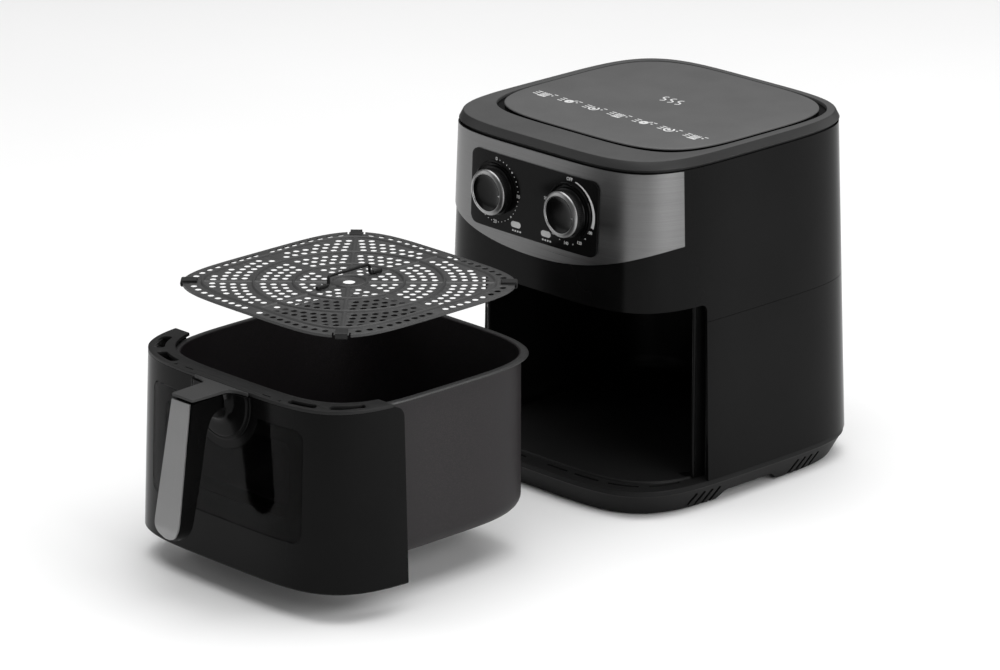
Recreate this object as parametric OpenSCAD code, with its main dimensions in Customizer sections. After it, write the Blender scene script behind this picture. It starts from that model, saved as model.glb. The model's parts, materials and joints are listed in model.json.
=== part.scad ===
// Drawer air fryer: housing with hot-air unit, pull-out pan drawer and lift-out crisper tray.
// Millimetres, +Z up, the front faces -Y, the worktop is z = 0.
// Parts are drawn around the axis of the housing and then set down at their place in the scene:
// the drawer is pulled right out to the front and the tray is held above the open pan.

/* [Housing] */
// Width of the housing at its widest line
body_w = 280; // [276:1:286]
// Depth of the housing at its widest line
body_d = 295; // [291:1:300]
// Height of that widest line above the worktop
widest_z = 38; // [34:1:44]
// How much narrower the housing gets up to its top
taper_w = 14; // [10:1:15]
// How much shallower the housing gets up to its top
taper_d = 20; // [14:1:21]
// Squareness of the rounded outline
body_n = 4.5; // [4.2:0.1:4.7]
// Wall of the plastic shells
wall = 2.5; // [2:0.1:3]
// Top of the upper shell
wall_top_z = 306; // [304:1:308]
// Seam between the lower and the upper shell
seam_z = 168; // [164:1:172]

/* [Drawer bay] */
// Top edge of the drawer opening
lintel_z = 184; // [183:0.5:185]
// Sill of the drawer opening
sill_z = 25; // [24:0.5:25]
// Where the opening ends on both sides, from the housing's axis
jamb_y = -66; // [-68:1:-64]
// Corner radius of the opening
opening_r = 6; // [4:1:8]

/* [Drawer] */
// How far the drawer is pulled out
drawer_travel = 351; // [345:1:360]
// Bottom edge of the drawer front
front_low_z = 26; // [26:0.5:27]
// Top edge of the drawer front
front_top_z = 179; // [178:0.5:180]
// Top of the drawer's upper frame
frame_top_z = 182; // [181:0.5:182]
// Half width of the window pane
window_half = 92; // [88:1:94]
// Lower edge of the window pane
window_low_z = 66; // [64:1:68]
// Upper edge of the window pane
window_top_z = 162; // [160:1:164]

/* [Pan] */
// Half width of the pan outside its wall
pan_half = 119; // [118:0.5:119]
// Wall of the pan
pan_wall = 1.5; // [1.2:0.1:1.6]
// Width of the rolled rim
rim_w = 5; // [4.5:0.5:5.5]
// Top of the pan's rim
rim_z = 177; // [176:0.5:177]
// Underside of the pan's floor
pan_low_z = 38; // [36:1:40]

/* [Crisper tray] */
// Half width of the tray
tray_half = 113.5; // [112:0.5:114]
// Underside of the tray plate as it hangs above the pan
tray_z = 235.6; // [230:0.2:238]
// Thickness of the tray plate
tray_t = 1.6; // [1.4:0.1:2]
// Diameter of the air holes
hole_d = 5; // [4:0.2:5.4]
// Number of rows of holes from the middle to the edge
hole_rows = 9; // [6:1:9]

/* [Knobs] */
// Distance of each knob from the middle
knob_x = 44.5; // [43:0.5:46]
// Height of the knob axes
knob_z = 262; // [260:0.5:264]
// Radius of the knob's chrome ring
knob_r = 20.4; // [19.6:0.2:21.6]
// Front face of the knobs
knob_front_y = -154; // [-156:0.5:-153]

/* [Handle] */
// Front of the grip at its top
grip_top_y = -187; // [-190:1:-186]
// Front of the grip at its lower end
grip_low_y = -206; // [-208:1:-204]
// Width of the grip at its top
grip_top_w = 26; // [24:1:28]
// Width of the grip at its lower end
grip_low_w = 34; // [32:1:36]

/* [Hidden] */
$fn = 48;
outline_steps = 72;
big = 500;
gap = 0.2;

// Reach of the finished object, front to back, which sets the housing's place over the origin
handle_reach = drawer_travel - grip_low_y;
rear_reach = body_d / 2 + 0.8;
home_y = (handle_reach - rear_reach) / 2;

// Base
foot_z = 1.2;
step_z = 20;
floor_t = 3.5;
base_in = 11;
arch_z = 8.4;
arch_low_y = [-50, 33];
arch_top_y = [-36, 19];
slit_starts = [-78.7, 47.4];
slit_pitch = 9.1;
slit_count = 4;
slit_w = 2.4;
slit_h = 13;
slit_lean = 40;
pocket_first = 5.6;
pocket_pitch = 13.3;
pocket_span = 10;
pocket_in = 11;
pocket_w = 3.2;
foot_at = [104, 108];
foot_r = 7;
side_screw = [130.6, -20];
rear_screw = [50, 135.5];
head_z = 10;
post_at = [118, 100];
inlet_at = [30, 44];
switch_x = -130.8;
switch_z = 120;

// Drawer bay and pan
pan_y = -2.5;
pan_n = 4.2;
tray_n = 4.6;
tray_skirt = 1;
clip_z = [-2.2, 3.5];
clip_r = [-12, 1.6];
clip_t = 0.9;
bail_z = 3.8;
bail_h = 8;
liner_half = 127;
liner_t = 1;
pan_corner_in = 10;
pan_slot_half = 66;
pan_slot_z = [86, 146];
part_gap = 0.7;
boss_z = 166;
boss_r = 33;
bracket_half = 30;
bracket_z = [168.6, 174];
screw_z = 171.3;

// Hot-air unit
chamber_half = 121;
shield_top_z = 230;
element_z = 203;
element_r = [66, 88];
tube_r = 3.3;
shaft_r = 3;
bush_gap = 0.1;
fan_r = 66;
cooler_r = 50;
motor_r = 29;
motor_z = [256, 290];
sensor_y = -96;
fuse_y = -70;

// Front panel
band_low_z = 213;
band_r = 340;
band_end_y = -90;
band_t = 0.8;
panel_half = 77;
panel_z = [227.4, 294.2];
panel_r = 8;
panel_t = 1.6;
lens_x = 18.4;
lens_z = 237;

// Half width and half depth of the housing's outline at a height
function half_w(z) = (body_w - taper_w * (z - widest_z) / (314 - widest_z)) / 2;
function half_d(z) = (body_d - taper_d * (z - widest_z) / (314 - widest_z)) / 2;
function signed_power(v, p) = sign(v) * pow(abs(v), p);

// Rounded-square outline of the given half sizes and squareness
module outline(a, b, n) {
  polygon([for (i = [0:outline_steps - 1]) let (t = 360 * i / outline_steps)
    [a * signed_power(cos(t), 2 / n), b * signed_power(sin(t), 2 / n)]]);
}

module block(a, b, n, z0, z1) {
  translate([0, 0, z0]) linear_extrude(z1 - z0) outline(a, b, n);
}

module tapered_block(a0, b0, a1, b1, n, z0, z1) {
  translate([0, 0, z0])
    linear_extrude(z1 - z0, scale = [a1 / a0, b1 / b0], slices = 1) outline(a0, b0, n);
}

// A slice of the housing's tapered body, grown or shrunk by an amount
module body_block(z0, z1, grow = 0) {
  tapered_block(half_w(z0) + grow, half_d(z0) + grow, half_w(z1) + grow, half_d(z1) + grow,
    body_n, z0, z1);
}

module body_skin(z0, z1, inner, outer) {
  difference() {
    body_block(z0, z1, outer);
    body_block(z0 - 1, z1 + 1, inner);
  }
}

// A box between two corners
module span_box(low, high) {
  translate(low) cube(high - low);
}

// A flat shape given in Y and Z, drawn through the whole width
module through_x(width) {
  rotate([90, 0, 90]) linear_extrude(width, center = true) children();
}

// A flat shape given in X and Z, standing between two depths
module along_y(y0, y1) {
  translate([0, y1, 0]) rotate([90, 0, 0]) linear_extrude(y1 - y0) children();
}

module rounded_square(half, z0, z1, r) {
  for (x = [-half + r, half - r]) for (z = [z0 + r, z1 - r]) translate([x, z]) circle(r);
  translate([-half + r, z0]) square([2 * (half - r), z1 - z0]);
  translate([-half, z0 + r]) square([2 * half, z1 - z0 - 2 * r]);
}

// A round bar or hole along Y
module bar_y(r, y0, y1) {
  translate([0, y1, 0]) rotate([90, 0, 0]) cylinder(h = y1 - y0, r = r);
}

module both_sides() for (m = [0, 1]) mirror([m, 0, 0]) children();

// The four screws between the base and the lower shell
module at_base_screws() both_sides() for (p = [side_screw, rear_screw])
  translate([p[0], p[1], 0]) children();

// Places of the three moving groups
module home() translate([0, home_y, 0]) children();
module on_pan_axis() translate([0, pan_y, 0]) children();
module drawn_out() translate([0, home_y - drawer_travel, 0]) children();
module on_tray() translate([0, home_y - drawer_travel + pan_y, tray_z]) children();
module on_knob(side) home() translate([side * knob_x, 0, knob_z]) children();

// The corner of the drawer opening, cut away in front of the jambs
module opening_cut(y_edge, z_edge, r) {
  through_x(big) difference() {
    translate([-big, -1]) square([big + y_edge, z_edge + 1]);
    difference() {
      translate([y_edge - r, z_edge - r]) square(r + 1);
      translate([y_edge - r, z_edge - r]) circle(r);
    }
  }
}

// ---------------------------------------------------------------- housing

module base_skirt() {
  difference() {
    union() {
      tapered_block(half_w(sill_z) - base_in, half_d(sill_z) - base_in,
        half_w(sill_z) - 2, half_d(sill_z) - 2, body_n, foot_z, step_z);
      body_block(step_z, sill_z, -0.8);
    }
    tapered_block(half_w(sill_z) - base_in - 3, half_d(sill_z) - base_in - 3,
      half_w(sill_z) - 5, half_d(sill_z) - 5, body_n, foot_z - 1, sill_z - floor_t);
  }
}

module sill_pockets() {
  far = 200;
  difference() {
    intersection() {
      body_block(sill_z - 1.5, sill_z + 1, -pocket_in);
      translate([0, 0, sill_z - 3]) linear_extrude(5)
        for (side = [-1, 1]) for (i = [0:3])
          let (a0 = pocket_first + i * pocket_pitch, a1 = a0 + pocket_span)
            polygon([[0, 0], [side * far * sin(a0), -far * cos(a0)],
              [side * far * sin(a1), -far * cos(a1)]]);
    }
    body_block(sill_z - 3, sill_z + 3, -pocket_in - pocket_w);
  }
}

module base() {
  color("#1b1b1d") home() difference() {
    union() {
      base_skirt();
      on_pan_axis() difference() {
        block(liner_half - 0.4, liner_half - 0.4, pan_n, sill_z - 1, sill_z + 2);
        block(liner_half - 2, liner_half - 2, pan_n, sill_z - 2, sill_z + 3);
      }
      for (x = [-foot_at[0], foot_at[0]]) for (y = [-foot_at[1], foot_at[1]])
        translate([x, y, foot_z]) cylinder(h = sill_z - foot_z - 1, r = foot_r + 2.5);
      at_base_screws() translate([0, 0, head_z + 2]) cylinder(h = sill_z - head_z - 3, r = 4.4);
    }
    through_x(big) polygon([[arch_low_y[0], -1], [arch_low_y[1], -1],
      [arch_top_y[1], arch_z], [arch_top_y[0], arch_z]]);
    for (start = slit_starts) for (i = [0:slit_count - 1])
      translate([0, start + i * slit_pitch, 12.5]) rotate([-slit_lean, 0, 0])
        for (side = [-1, 1]) translate([side * 140, 0, 0])
          cube([36, slit_w, slit_h], center = true);
    sill_pockets();
    for (x = [-foot_at[0], foot_at[0]]) for (y = [-foot_at[1], foot_at[1]])
      translate([x, y, -1]) cylinder(h = 4, r = foot_r + gap);
    at_base_screws() {
      cylinder(h = big / 10, r = 1.7);
      cylinder(h = head_z + 2.2, r = 3.5);
    }
  }
}

module rubber_feet() {
  color("#101010") home()
    for (x = [-foot_at[0], foot_at[0]]) for (y = [-foot_at[1], foot_at[1]])
      translate([x, y, 0]) cylinder(h = 3, r = foot_r);
}

// Bosses of the lower shell, each tied to the wall by a rib
module screw_bosses() {
  boss_h = 20;
  difference() {
    intersection() {
      body_block(sill_z, sill_z + boss_h, -wall / 2);
      both_sides() translate([0, 0, sill_z]) {
        translate(side_screw) {
          cylinder(h = boss_h, r = 4.7);
          span_box([0, -1.2, 0], [12, 1.2, boss_h]);
        }
        translate(rear_screw) {
          cylinder(h = boss_h, r = 4.7);
          span_box([-1.2, 0, 0], [1.2, 14, boss_h]);
        }
      }
    }
    on_pan_axis() block(liner_half + liner_t + 0.3, liner_half + liner_t + 0.3, pan_n,
      sill_z - 1, sill_z + boss_h + 1);
  }
}

module lower_housing() {
  color("#202022") home() difference() {
    union() {
      difference() {
        body_skin(sill_z, seam_z, -wall, 0);
        span_box([-big, -big, 0], [big, jamb_y, big]);
      }
      intersection() {
        body_block(sill_z, seam_z, -wall / 2);
        for (side = [-1, 1]) translate([side * (liner_half + 10.6), jamb_y + 1.2, 0])
          cube([20, 2.4, big], center = true);
      }
      screw_bosses();
    }
    at_base_screws() translate([0, 0, sill_z - 1]) cylinder(h = 17, r = 1.5);
    translate([inlet_at[0], 0, inlet_at[1]]) bar_y(8.2, body_d / 2 - 8, body_d / 2 + 8);
    translate([switch_x, 0, switch_z]) bar_y(2.1, jamb_y - 2, jamb_y + 4);
  }
}

module upper_housing() {
  color("#1c1c1e") home() difference() {
    union() {
      difference() {
        body_skin(seam_z + 0.2, wall_top_z, -wall, 0);
        opening_cut(jamb_y, lintel_z, opening_r);
      }
      difference() {
        body_block(lintel_z, lintel_z + 2.5, -wall / 2);
        on_pan_axis() block(chamber_half, chamber_half, pan_n, lintel_z - 1, lintel_z + 4);
      }
      intersection() {
        body_block(seam_z + 0.2, lintel_z + 1, -wall / 2);
        for (side = [-1, 1]) translate([side * (liner_half + 10.6), jamb_y + 1.2, seam_z + 10])
          cube([20, 2.4, 20], center = true);
      }
      for (x = [-post_at[0], post_at[0]]) for (y = [-post_at[1], post_at[1]])
        translate([x, y, lintel_z + 1]) cylinder(h = wall_top_z - lintel_z - 1, r = 3.5);
    }
    translate([0, 0, seam_z - big]) cube([big, big, 2 * big], center = true);
    for (side = [-1, 1]) translate([side * knob_x, 0, knob_z]) bar_y(5.6, -150, -120);
    for (side = [-1, 1]) translate([side * lens_x, 0, lens_z]) bar_y(3.2, -150, -120);
    along_y(130, 150) rounded_square(52, 228, 272, 4);
  }
}

module top_cover() {
  lid_cut_z = wall_top_z + 6;
  color("#5c5c5d") home() difference() {
    union() {
      body_block(wall_top_z, wall_top_z + 2, -1.4);
      tapered_block(half_w(wall_top_z) + 0.4, half_d(wall_top_z) + 0.4,
        half_w(wall_top_z) - 2.2, half_d(wall_top_z) - 2.2, body_n, wall_top_z + 2, wall_top_z + 9);
      tapered_block(half_w(wall_top_z) - 2.4, half_d(wall_top_z) - 2.4,
        half_w(wall_top_z) - 4, half_d(wall_top_z) - 4, body_n, wall_top_z + 8.5, wall_top_z + 10);
    }
    body_block(wall_top_z - 1, wall_top_z + 4, -1.4 - wall);
    translate([0, 15, 0]) block(121.5, 113.5, body_n, lid_cut_z, wall_top_z + 12);
  }
}

module lid_panel() {
  color("#6a6a6b") home() translate([0, 15, 0]) {
    block(119, 111, body_n, wall_top_z + 6, wall_top_z + 9.5);
    tapered_block(119, 111, 117.6, 109.6, body_n, wall_top_z + 9.5, wall_top_z + 11);
  }
}

// Front region of the band: everything in front of its ends and above its smile-shaped edge
module band_region() {
  difference() {
    span_box([-big, -big, band_low_z - 20], [big, band_end_y, wall_top_z]);
    along_y(-big, big / 5) difference() {
      translate([-big, 0]) square([2 * big, band_low_z + band_r]);
      translate([0, band_low_z + band_r]) circle(band_r, $fn = 120);
    }
  }
}

module steel_band() {
  color("#9a9a9a") home() difference() {
    intersection() {
      body_skin(band_low_z - 10, wall_top_z - 0.4, 0.1, band_t);
      band_region();
    }
    for (side = [-1, 1]) translate([side * knob_x, 0, knob_z]) bar_y(5.6, -160, -120);
    for (side = [-1, 1]) translate([side * lens_x, 0, lens_z]) bar_y(3.2, -160, -120);
  }
}

module control_panel() {
  color("#0d0d0e") home() difference() {
    intersection() {
      body_skin(panel_z[0] - 5, panel_z[1] + 5, band_t + 0.1, band_t + panel_t);
      along_y(-big, 0) rounded_square(panel_half, panel_z[0], panel_z[1], panel_r);
    }
    for (side = [-1, 1]) translate([side * knob_x, 0, knob_z]) bar_y(5.6, -160, -120);
    for (side = [-1, 1]) along_y(-160, -120)
      translate([side * lens_x, 0]) rounded_square(5.7, lens_z - 3.2, lens_z + 3.2, 2.6);
  }
}

module lens(side) {
  on_front = -half_d(lens_z) - band_t - panel_t - 0.4;
  color("#e8e8e4") home() translate([side * lens_x, 0, 0]) {
    along_y(on_front, on_front + 1.6)
      rounded_square(5.5, lens_z - 3, lens_z + 3, 2.5);
    translate([0, 0, lens_z]) bar_y(2.9, on_front + 1.5, on_front + 6);
  }
}

module power_lens() lens(-1);
module heat_lens() lens(1);

module indicator_lamps() {
  color("#d9c9a0") home() for (side = [-1, 1]) translate([side * lens_x, 0, lens_z]) {
    bar_y(2.6, -136, -124);
    bar_y(1.6, -124.5, -118);
  }
}

module timer_unit() {
  color("#8f8f90") on_knob(-1) difference() {
    union() {
      span_box([-21, -134, -21], [21, -106, 21]);
      bar_y(5, -141.5, -133);
      translate([8, 0, 8]) bar_y(13, -107, -99);
      span_box([-27, -134, -3], [-20, -132.8, 3]);
    }
    bar_y(shaft_r + bush_gap, -150, -120);
  }
}

module thermostat() {
  color("#a8a8a8") on_knob(1) difference() {
    union() {
      bar_y(17, -134, -118);
      bar_y(5, -141.5, -133);
      bar_y(12, -119, -108);
      span_box([-6, -118, 10], [6, -112, 20]);
    }
    bar_y(shaft_r + bush_gap, -150, -120);
  }
}

// Sensor bulb in the chamber, joined to the thermostat by a capillary tube
module thermostat_sensor() {
  high = shield_top_z + 6;
  start_y = -106.5;
  bulb = [192, 216];
  color("#b87333") home() translate([knob_x, 0, 0]) {
    for (p = [[start_y, knob_z], [start_y, high], [sensor_y, high]])
      translate([0, p[0], p[1]]) sphere(1.4, $fn = 24);
    translate([0, start_y, high]) cylinder(h = knob_z - high, r = 1.2, $fn = 24);
    translate([0, 0, high]) bar_y(1.2, start_y, sensor_y);
    translate([0, sensor_y, bulb[1] - 2]) cylinder(h = high - bulb[1] + 2, r = 1.2, $fn = 24);
    translate([0, sensor_y, bulb[0]]) cylinder(h = bulb[1] - bulb[0], r = 2.6, $fn = 24);
  }
}

module cavity_liner() {
  color("#2a2a2b") home() difference() {
    on_pan_axis() block(liner_half + liner_t, liner_half + liner_t, pan_n, sill_z, lintel_z);
    on_pan_axis() block(liner_half, liner_half, pan_n, sill_z - 1, lintel_z + 1);
    span_box([-big, -big, 0], [big, jamb_y + 2.6, big]);
  }
}

module pan_rails() {
  rail_z = rim_z - 2 - 0.3;
  color("#3a3a3b") home() difference() {
    intersection() {
      on_pan_axis() block(liner_half - gap, liner_half - gap, pan_n, rail_z - 3, rail_z);
      span_box([-big, jamb_y + 4, 0], [big, 70, big]);
    }
    span_box([-pan_half - 1.2, -big, 0], [pan_half + 1.2, big, big]);
  }
}

module heat_shield() {
  color("#b9b9b9") home() on_pan_axis() difference() {
    union() {
      block(chamber_half + 4, chamber_half + 4, pan_n, lintel_z + 2.5, lintel_z + 3.5);
      tapered_block(chamber_half, chamber_half, chamber_half - 8, chamber_half - 8, pan_n,
        lintel_z + 2.5, shield_top_z);
    }
    tapered_block(chamber_half - 1, chamber_half - 1, chamber_half - 9, chamber_half - 9, pan_n,
      lintel_z + 1, shield_top_z - 1);
    translate([0, 0, shield_top_z - 5]) cylinder(h = 10, r = 6);
    translate([knob_x, sensor_y - pan_y, shield_top_z - 5]) cylinder(h = 10, r = 3.2);
    for (x = [-9, 9]) translate([x, 87.5, shield_top_z - 5]) cylinder(h = 10, r = 4.4);
  }
}

module heating_element() {
  color("#4a4744") home() on_pan_axis() {
    for (r = element_r) translate([0, 0, element_z]) rotate([0, 0, 96])
      rotate_extrude(angle = 348, $fn = 96) translate([r, 0]) circle(tube_r, $fn = 24);
    for (x = [-9, 9]) {
      translate([x, 87.5, element_z]) cylinder(h = 42, r = tube_r, $fn = 24);
      translate([x, 87.5, element_z]) sphere(tube_r + 0.3, $fn = 24);
    }
    for (x = [-7, 7]) translate([x, 0, element_z]) bar_y(tube_r - 0.3, 65.5, 87.5);
  }
}

module element_brackets() {
  color("#c0c0c0") home() on_pan_axis() for (a = [-90, 30, 150]) rotate([0, 0, a]) {
    span_box([58, -5, element_z + tube_r + 0.1], [95, 5, element_z + tube_r + 1.4]);
    span_box([76, -5, element_z + tube_r + 0.5], [77.4, 5, shield_top_z - 1]);
  }
}

module element_guard() {
  wire = 1.2;
  guard_z = lintel_z + 6;
  color("#c8c8c8") home() on_pan_axis() {
    for (r = [34, 62, 90, 108]) translate([0, 0, guard_z])
      rotate_extrude($fn = 72) translate([r, 0]) circle(wire, $fn = 24);
    for (a = [0:45:315]) rotate([0, 0, a]) translate([33.5, 0, guard_z - 0.8]) rotate([0, 90, 0])
      cylinder(h = 80, r = wire, $fn = 24);
  }
}

module motor() {
  color("#777777") home() on_pan_axis() difference() {
    union() {
      translate([0, 0, motor_z[0]]) cylinder(h = motor_z[1] - motor_z[0], r = motor_r);
      translate([0, 0, motor_z[1] - 1]) cylinder(h = 6, r = 9);
      span_box([motor_r - 4, -14, motor_z[0] + 6], [motor_r + 10, 14, motor_z[1] - 6]);
    }
    translate([0, 0, motor_z[0] - 1]) cylinder(h = 60, r = shaft_r + bush_gap);
  }
}

module motor_bracket() {
  plate_z = motor_z[0] - 2;
  color("#b0b0b0") home() on_pan_axis() difference() {
    union() {
      translate([0, 0, plate_z]) cylinder(h = 2, r = 36);
      for (a = [45:90:315]) rotate([0, 0, a]) {
        span_box([30, -7, plate_z], [66, 7, plate_z + 2]);
        span_box([64, -7, shield_top_z], [66, 7, plate_z + 2]);
        span_box([64, -7, shield_top_z], [78, 7, shield_top_z + 1.6]);
      }
    }
    translate([0, 0, plate_z - 1]) cylinder(h = 4, r = 11);
    for (a = [45:90:315]) rotate([0, 0, a]) translate([72, 0, shield_top_z - 1])
      cylinder(h = 4, r = 2.1);
  }
}

module bracket_screws() {
  color("#d0d0d0") home() on_pan_axis() for (a = [45:90:315]) rotate([0, 0, a]) {
    translate([72, 0, shield_top_z + 1.6]) cylinder(h = 2, r = 3.6);
    translate([72, 0, shield_top_z]) cylinder(h = 2.2, r = 1.9);
  }
}

module rear_vent() {
  mid_y = half_d(250);
  color("#18181a") home() {
    difference() {
      along_y(mid_y - 4, mid_y + 3.5) rounded_square(51.6, 228.4, 271.6, 4);
      for (i = [0:5]) span_box([-46, mid_y - 1, 232.5 + i * 6.2], [46, mid_y + 8, 236 + i * 6.2]);
      for (i = [0:5]) for (x = [-46, -14, 18])
        span_box([x, mid_y - 8, 233 + i * 6.2], [x + 28, mid_y, 235.5 + i * 6.2]);
    }
  }
}

module cord_inlet() {
  back_y = half_d(inlet_at[1]);
  color("#121212") home() translate([inlet_at[0], 0, inlet_at[1]]) difference() {
    union() {
      bar_y(8, back_y - 8, back_y + 0.6);
      bar_y(10.5, back_y + 0.4, back_y + 1);
      bar_y(10.5, back_y - 8, back_y - 6);
    }
    bar_y(3.8, back_y - 12, back_y + 6);
  }
}

module microswitch() {
  color("#222222") home() difference() {
    span_box([switch_x - 2.6, jamb_y + 5, switch_z - 12],
      [switch_x + 2.2, jamb_y + 20, switch_z + 12]);
    translate([switch_x, 0, switch_z]) bar_y(2.1, jamb_y - 2, jamb_y + 14);
  }
}

module switch_plunger() {
  color("#c33a2c") home() translate([switch_x, 0, switch_z]) {
    bar_y(1.5, jamb_y - 3, jamb_y + 8);
    bar_y(1.8, jamb_y + 5.5, jamb_y + 8);
  }
}

module thermal_fuse() {
  color("#e0ddd0") home() on_pan_axis() {
    translate([-56, fuse_y, shield_top_z + 3]) rotate([0, 90, 0]) cylinder(h = 16, r = 3, $fn = 24);
    for (x = [-53, -45]) span_box([x, fuse_y - 3.5, shield_top_z],
      [x + 2, fuse_y + 3.5, shield_top_z + 3]);
  }
}

module terminal_block() {
  color("#e6e2d6") home() difference() {
    span_box([-30, 125, lintel_z + 2.5], [14, 136, lintel_z + 18]);
    for (i = [0:3]) translate([-24.5 + i * 11, 130.5, lintel_z + 10]) cylinder(h = 10, r = 2.6);
  }
}

module base_screws() {
  color("#9a9a9a") home() at_base_screws() translate([0, 0, head_z]) {
    cylinder(h = 2.2, r = 3.2);
    translate([0, 0, 1]) cylinder(h = 28, r = 1.4);
  }
}

// ---------------------------------------------------------------- drawer

// Outer shell of the drawer front, from the front round to the two trailing edges
module front_skin(inner, outer, z0, z1) {
  difference() {
    body_skin(z0, z1, inner, outer);
    span_box([-big, jamb_y - part_gap, 0], [big, big, big]);
  }
}

module drawer_front() {
  color("#17171a") drawn_out() difference() {
    union() {
      front_skin(-wall, 0, front_low_z + 4, front_top_z);
      front_skin(-wall - 1.5, -1.2, front_low_z, front_low_z + 4);
      intersection() {
        front_skin(-wall - 4, -1, window_low_z - 12, window_top_z + 10);
        along_y(-big, 0) rounded_square(window_half + 9, window_low_z - 9, window_top_z + 6, 12);
      }
    }
    along_y(-big, 0)
      rounded_square(window_half - 6, window_low_z + 6, window_top_z - 6, 8);
    intersection() {
      front_skin(-1.6, 2, window_low_z - 4, window_top_z + 4);
      along_y(-big, 0) rounded_square(window_half + gap, window_low_z - gap, window_top_z + gap, 9);
    }
    for (x = [-11, 11]) translate([x, 0, screw_z]) bar_y(2.2, -160, -130);
  }
}

module window_glass() {
  color("#2e2e30", 0.6) drawn_out() intersection() {
    front_skin(-1.4, -0.1, window_low_z - 4, window_top_z + 4);
    along_y(-big, 0) rounded_square(window_half, window_low_z, window_top_z, 9);
  }
}

module window_seal() {
  color("#101010") drawn_out() difference() {
    along_y(-pan_half + pan_y - 3, -pan_half + pan_y - 0.4)
      rounded_square(pan_slot_half + 8, pan_slot_z[0] - 8, pan_slot_z[1] + 8, 10);
    along_y(-big, 0) rounded_square(pan_slot_half, pan_slot_z[0], pan_slot_z[1], 6);
  }
}

// One slot row of the upper frame: sectors between two angles from the front
module frame_sector(a0, a1) {
  far = 260;
  for (side = [-1, 1]) polygon([[0, 0], [side * far * sin(a0), -far * cos(a0)],
    [side * far * sin(a1), -far * cos(a1)]]);
}

module drawer_top_frame() {
  inner = pan_half + rim_w + 0.5;
  color("#4c4c4e") drawn_out() difference() {
    intersection() {
      body_block(front_top_z, frame_top_z, 0.2);
      opening_cut(jamb_y - part_gap, lintel_z - part_gap, opening_r);
    }
    on_pan_axis() block(inner, inner, pan_n, front_top_z - 1, frame_top_z + 1);
    difference() {
      intersection() {
        body_block(front_top_z - 1, frame_top_z + 1, -3.4);
        translate([0, 0, front_top_z - 1]) linear_extrude(6) {
          frame_sector(28, 37);
          frame_sector(42, 53);
        }
      }
      body_block(front_top_z - 2, frame_top_z + 2, -8);
    }
    for (side = [-1, 1]) translate([side * 64, -137.5, frame_top_z - 1])
      cylinder(h = 3, r = 2, $fn = 3);
  }
}

// Side outline of the handle in Y and Z
module handle_side() {
  polygon([[-140, 168], [-150, 166], [-163, 159], [-170, 148], [-174, 130], [grip_low_y + 17, 66],
    [grip_low_y + 12, 60], [grip_low_y + 5, 60], [grip_low_y, 68], [grip_top_y, 178.6],
    [-144, 178.6], [-144, 168]]);
}

// Front outline of the handle in X and Z
module handle_face(shrink = 0) {
  r = grip_low_w / 2 - shrink;
  translate([0, 77]) circle(r);
  polygon([[-r, 77], [r, 77], [grip_top_w / 2 - shrink, 181], [-grip_top_w / 2 + shrink, 181]]);
}

module handle() {
  color("#0e0e10") drawn_out() difference() {
    union() {
      intersection() {
        through_x(60) handle_side();
        along_y(-big, -158) handle_face();
      }
      intersection() {
        through_x(grip_top_w) handle_side();
        span_box([-big, -160, 0], [big, -half_d(168) - 0.4, big]);
      }
      intersection() {
        translate([0, -half_d(boss_z - boss_r) - 0.15, boss_z]) rotate([90, 0, 0])
          cylinder(h = 9, r1 = boss_r, r2 = 21);
        span_box([-big, -big, boss_z - big / 2], [big, 0, 178.6]);
      }
    }
    handle_recess();
    for (x = [-11, 11]) translate([x, 0, screw_z]) bar_y(1.7, -160, -130);
  }
}

// Shallow pocket in the front of the grip for the trim, and the trim itself
module trim_plate(shrink, depth) {
  lean = atan((grip_top_y - grip_low_y) / 111);
  intersection() {
    translate([0, grip_low_y, 67]) rotate([-lean, 0, 0])
      span_box([-40, -0.4, -20], [40, depth, 120]);
    along_y(-big, -150) difference() {
      handle_face(shrink);
      translate([-40, 176.4]) square([80, 20]);
    }
  }
}

module handle_recess() trim_plate(2.1, 1.6);

module handle_trim() {
  color("#a3a3a3") drawn_out() trim_plate(2.3, 1.4);
}

// Satin cover on the neck of the handle, sloping down a little to the front
module handle_cap() {
  back_y = -half_d(178) - 0.6;
  tip_y = grip_top_y + 1;
  color("#4c4c4e") drawn_out() intersection() {
    through_x(60) polygon([[back_y, 178.8], [back_y, frame_top_z], [tip_y, 181], [tip_y, 178.8]]);
    linear_extrude(200) polygon([[-16, back_y], [16, back_y], [grip_top_w / 2, tip_y],
      [-grip_top_w / 2, tip_y]]);
  }
}

module handle_screws() {
  color("#b5b5b5") drawn_out() for (x = [-11, 11]) translate([x, 0, screw_z]) {
    bar_y(1.5, -154, -137.5);
    bar_y(2.4, -138.1, -135.6);
  }
}

// Steel channel on the front of the pan, to which the handle and the front are screwed
module pan_bracket() {
  pan_front = pan_y - pan_half;
  front = -half_d(bracket_z[1]) + wall + 0.2;
  color("#8a8a8a") drawn_out() difference() {
    span_box([-bracket_half, front, bracket_z[0]], [bracket_half, pan_front - 0.2, bracket_z[1]]);
    span_box([-bracket_half + 1.5, front + 1.5, 0], [bracket_half - 1.5, pan_front - 1.7, big]);
    for (x = [-11, 11]) translate([x, 0, screw_z]) bar_y(1.7, -160, pan_front - 1);
  }
}

// A pan-shaped block with two slopes round its floor: each slope rises from a step inwards
module pan_body(shrink, z_low, z_top) {
  half = pan_half - shrink;
  intersection() {
    block(half, half, pan_n, z_low, z_top);
    flared_block(half, pan_corner_in, 1.15, z_low, z_top);
    flared_block(half, 4.5, 0.35, z_low, z_top);
  }
}

module flared_block(half, step, rise, z_low, z_top) {
  top = half - step + rise * (z_top - z_low);
  tapered_block(half - step, half - step, top, top, pan_n, z_low - 0.1, z_top + 0.1);
}

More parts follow.
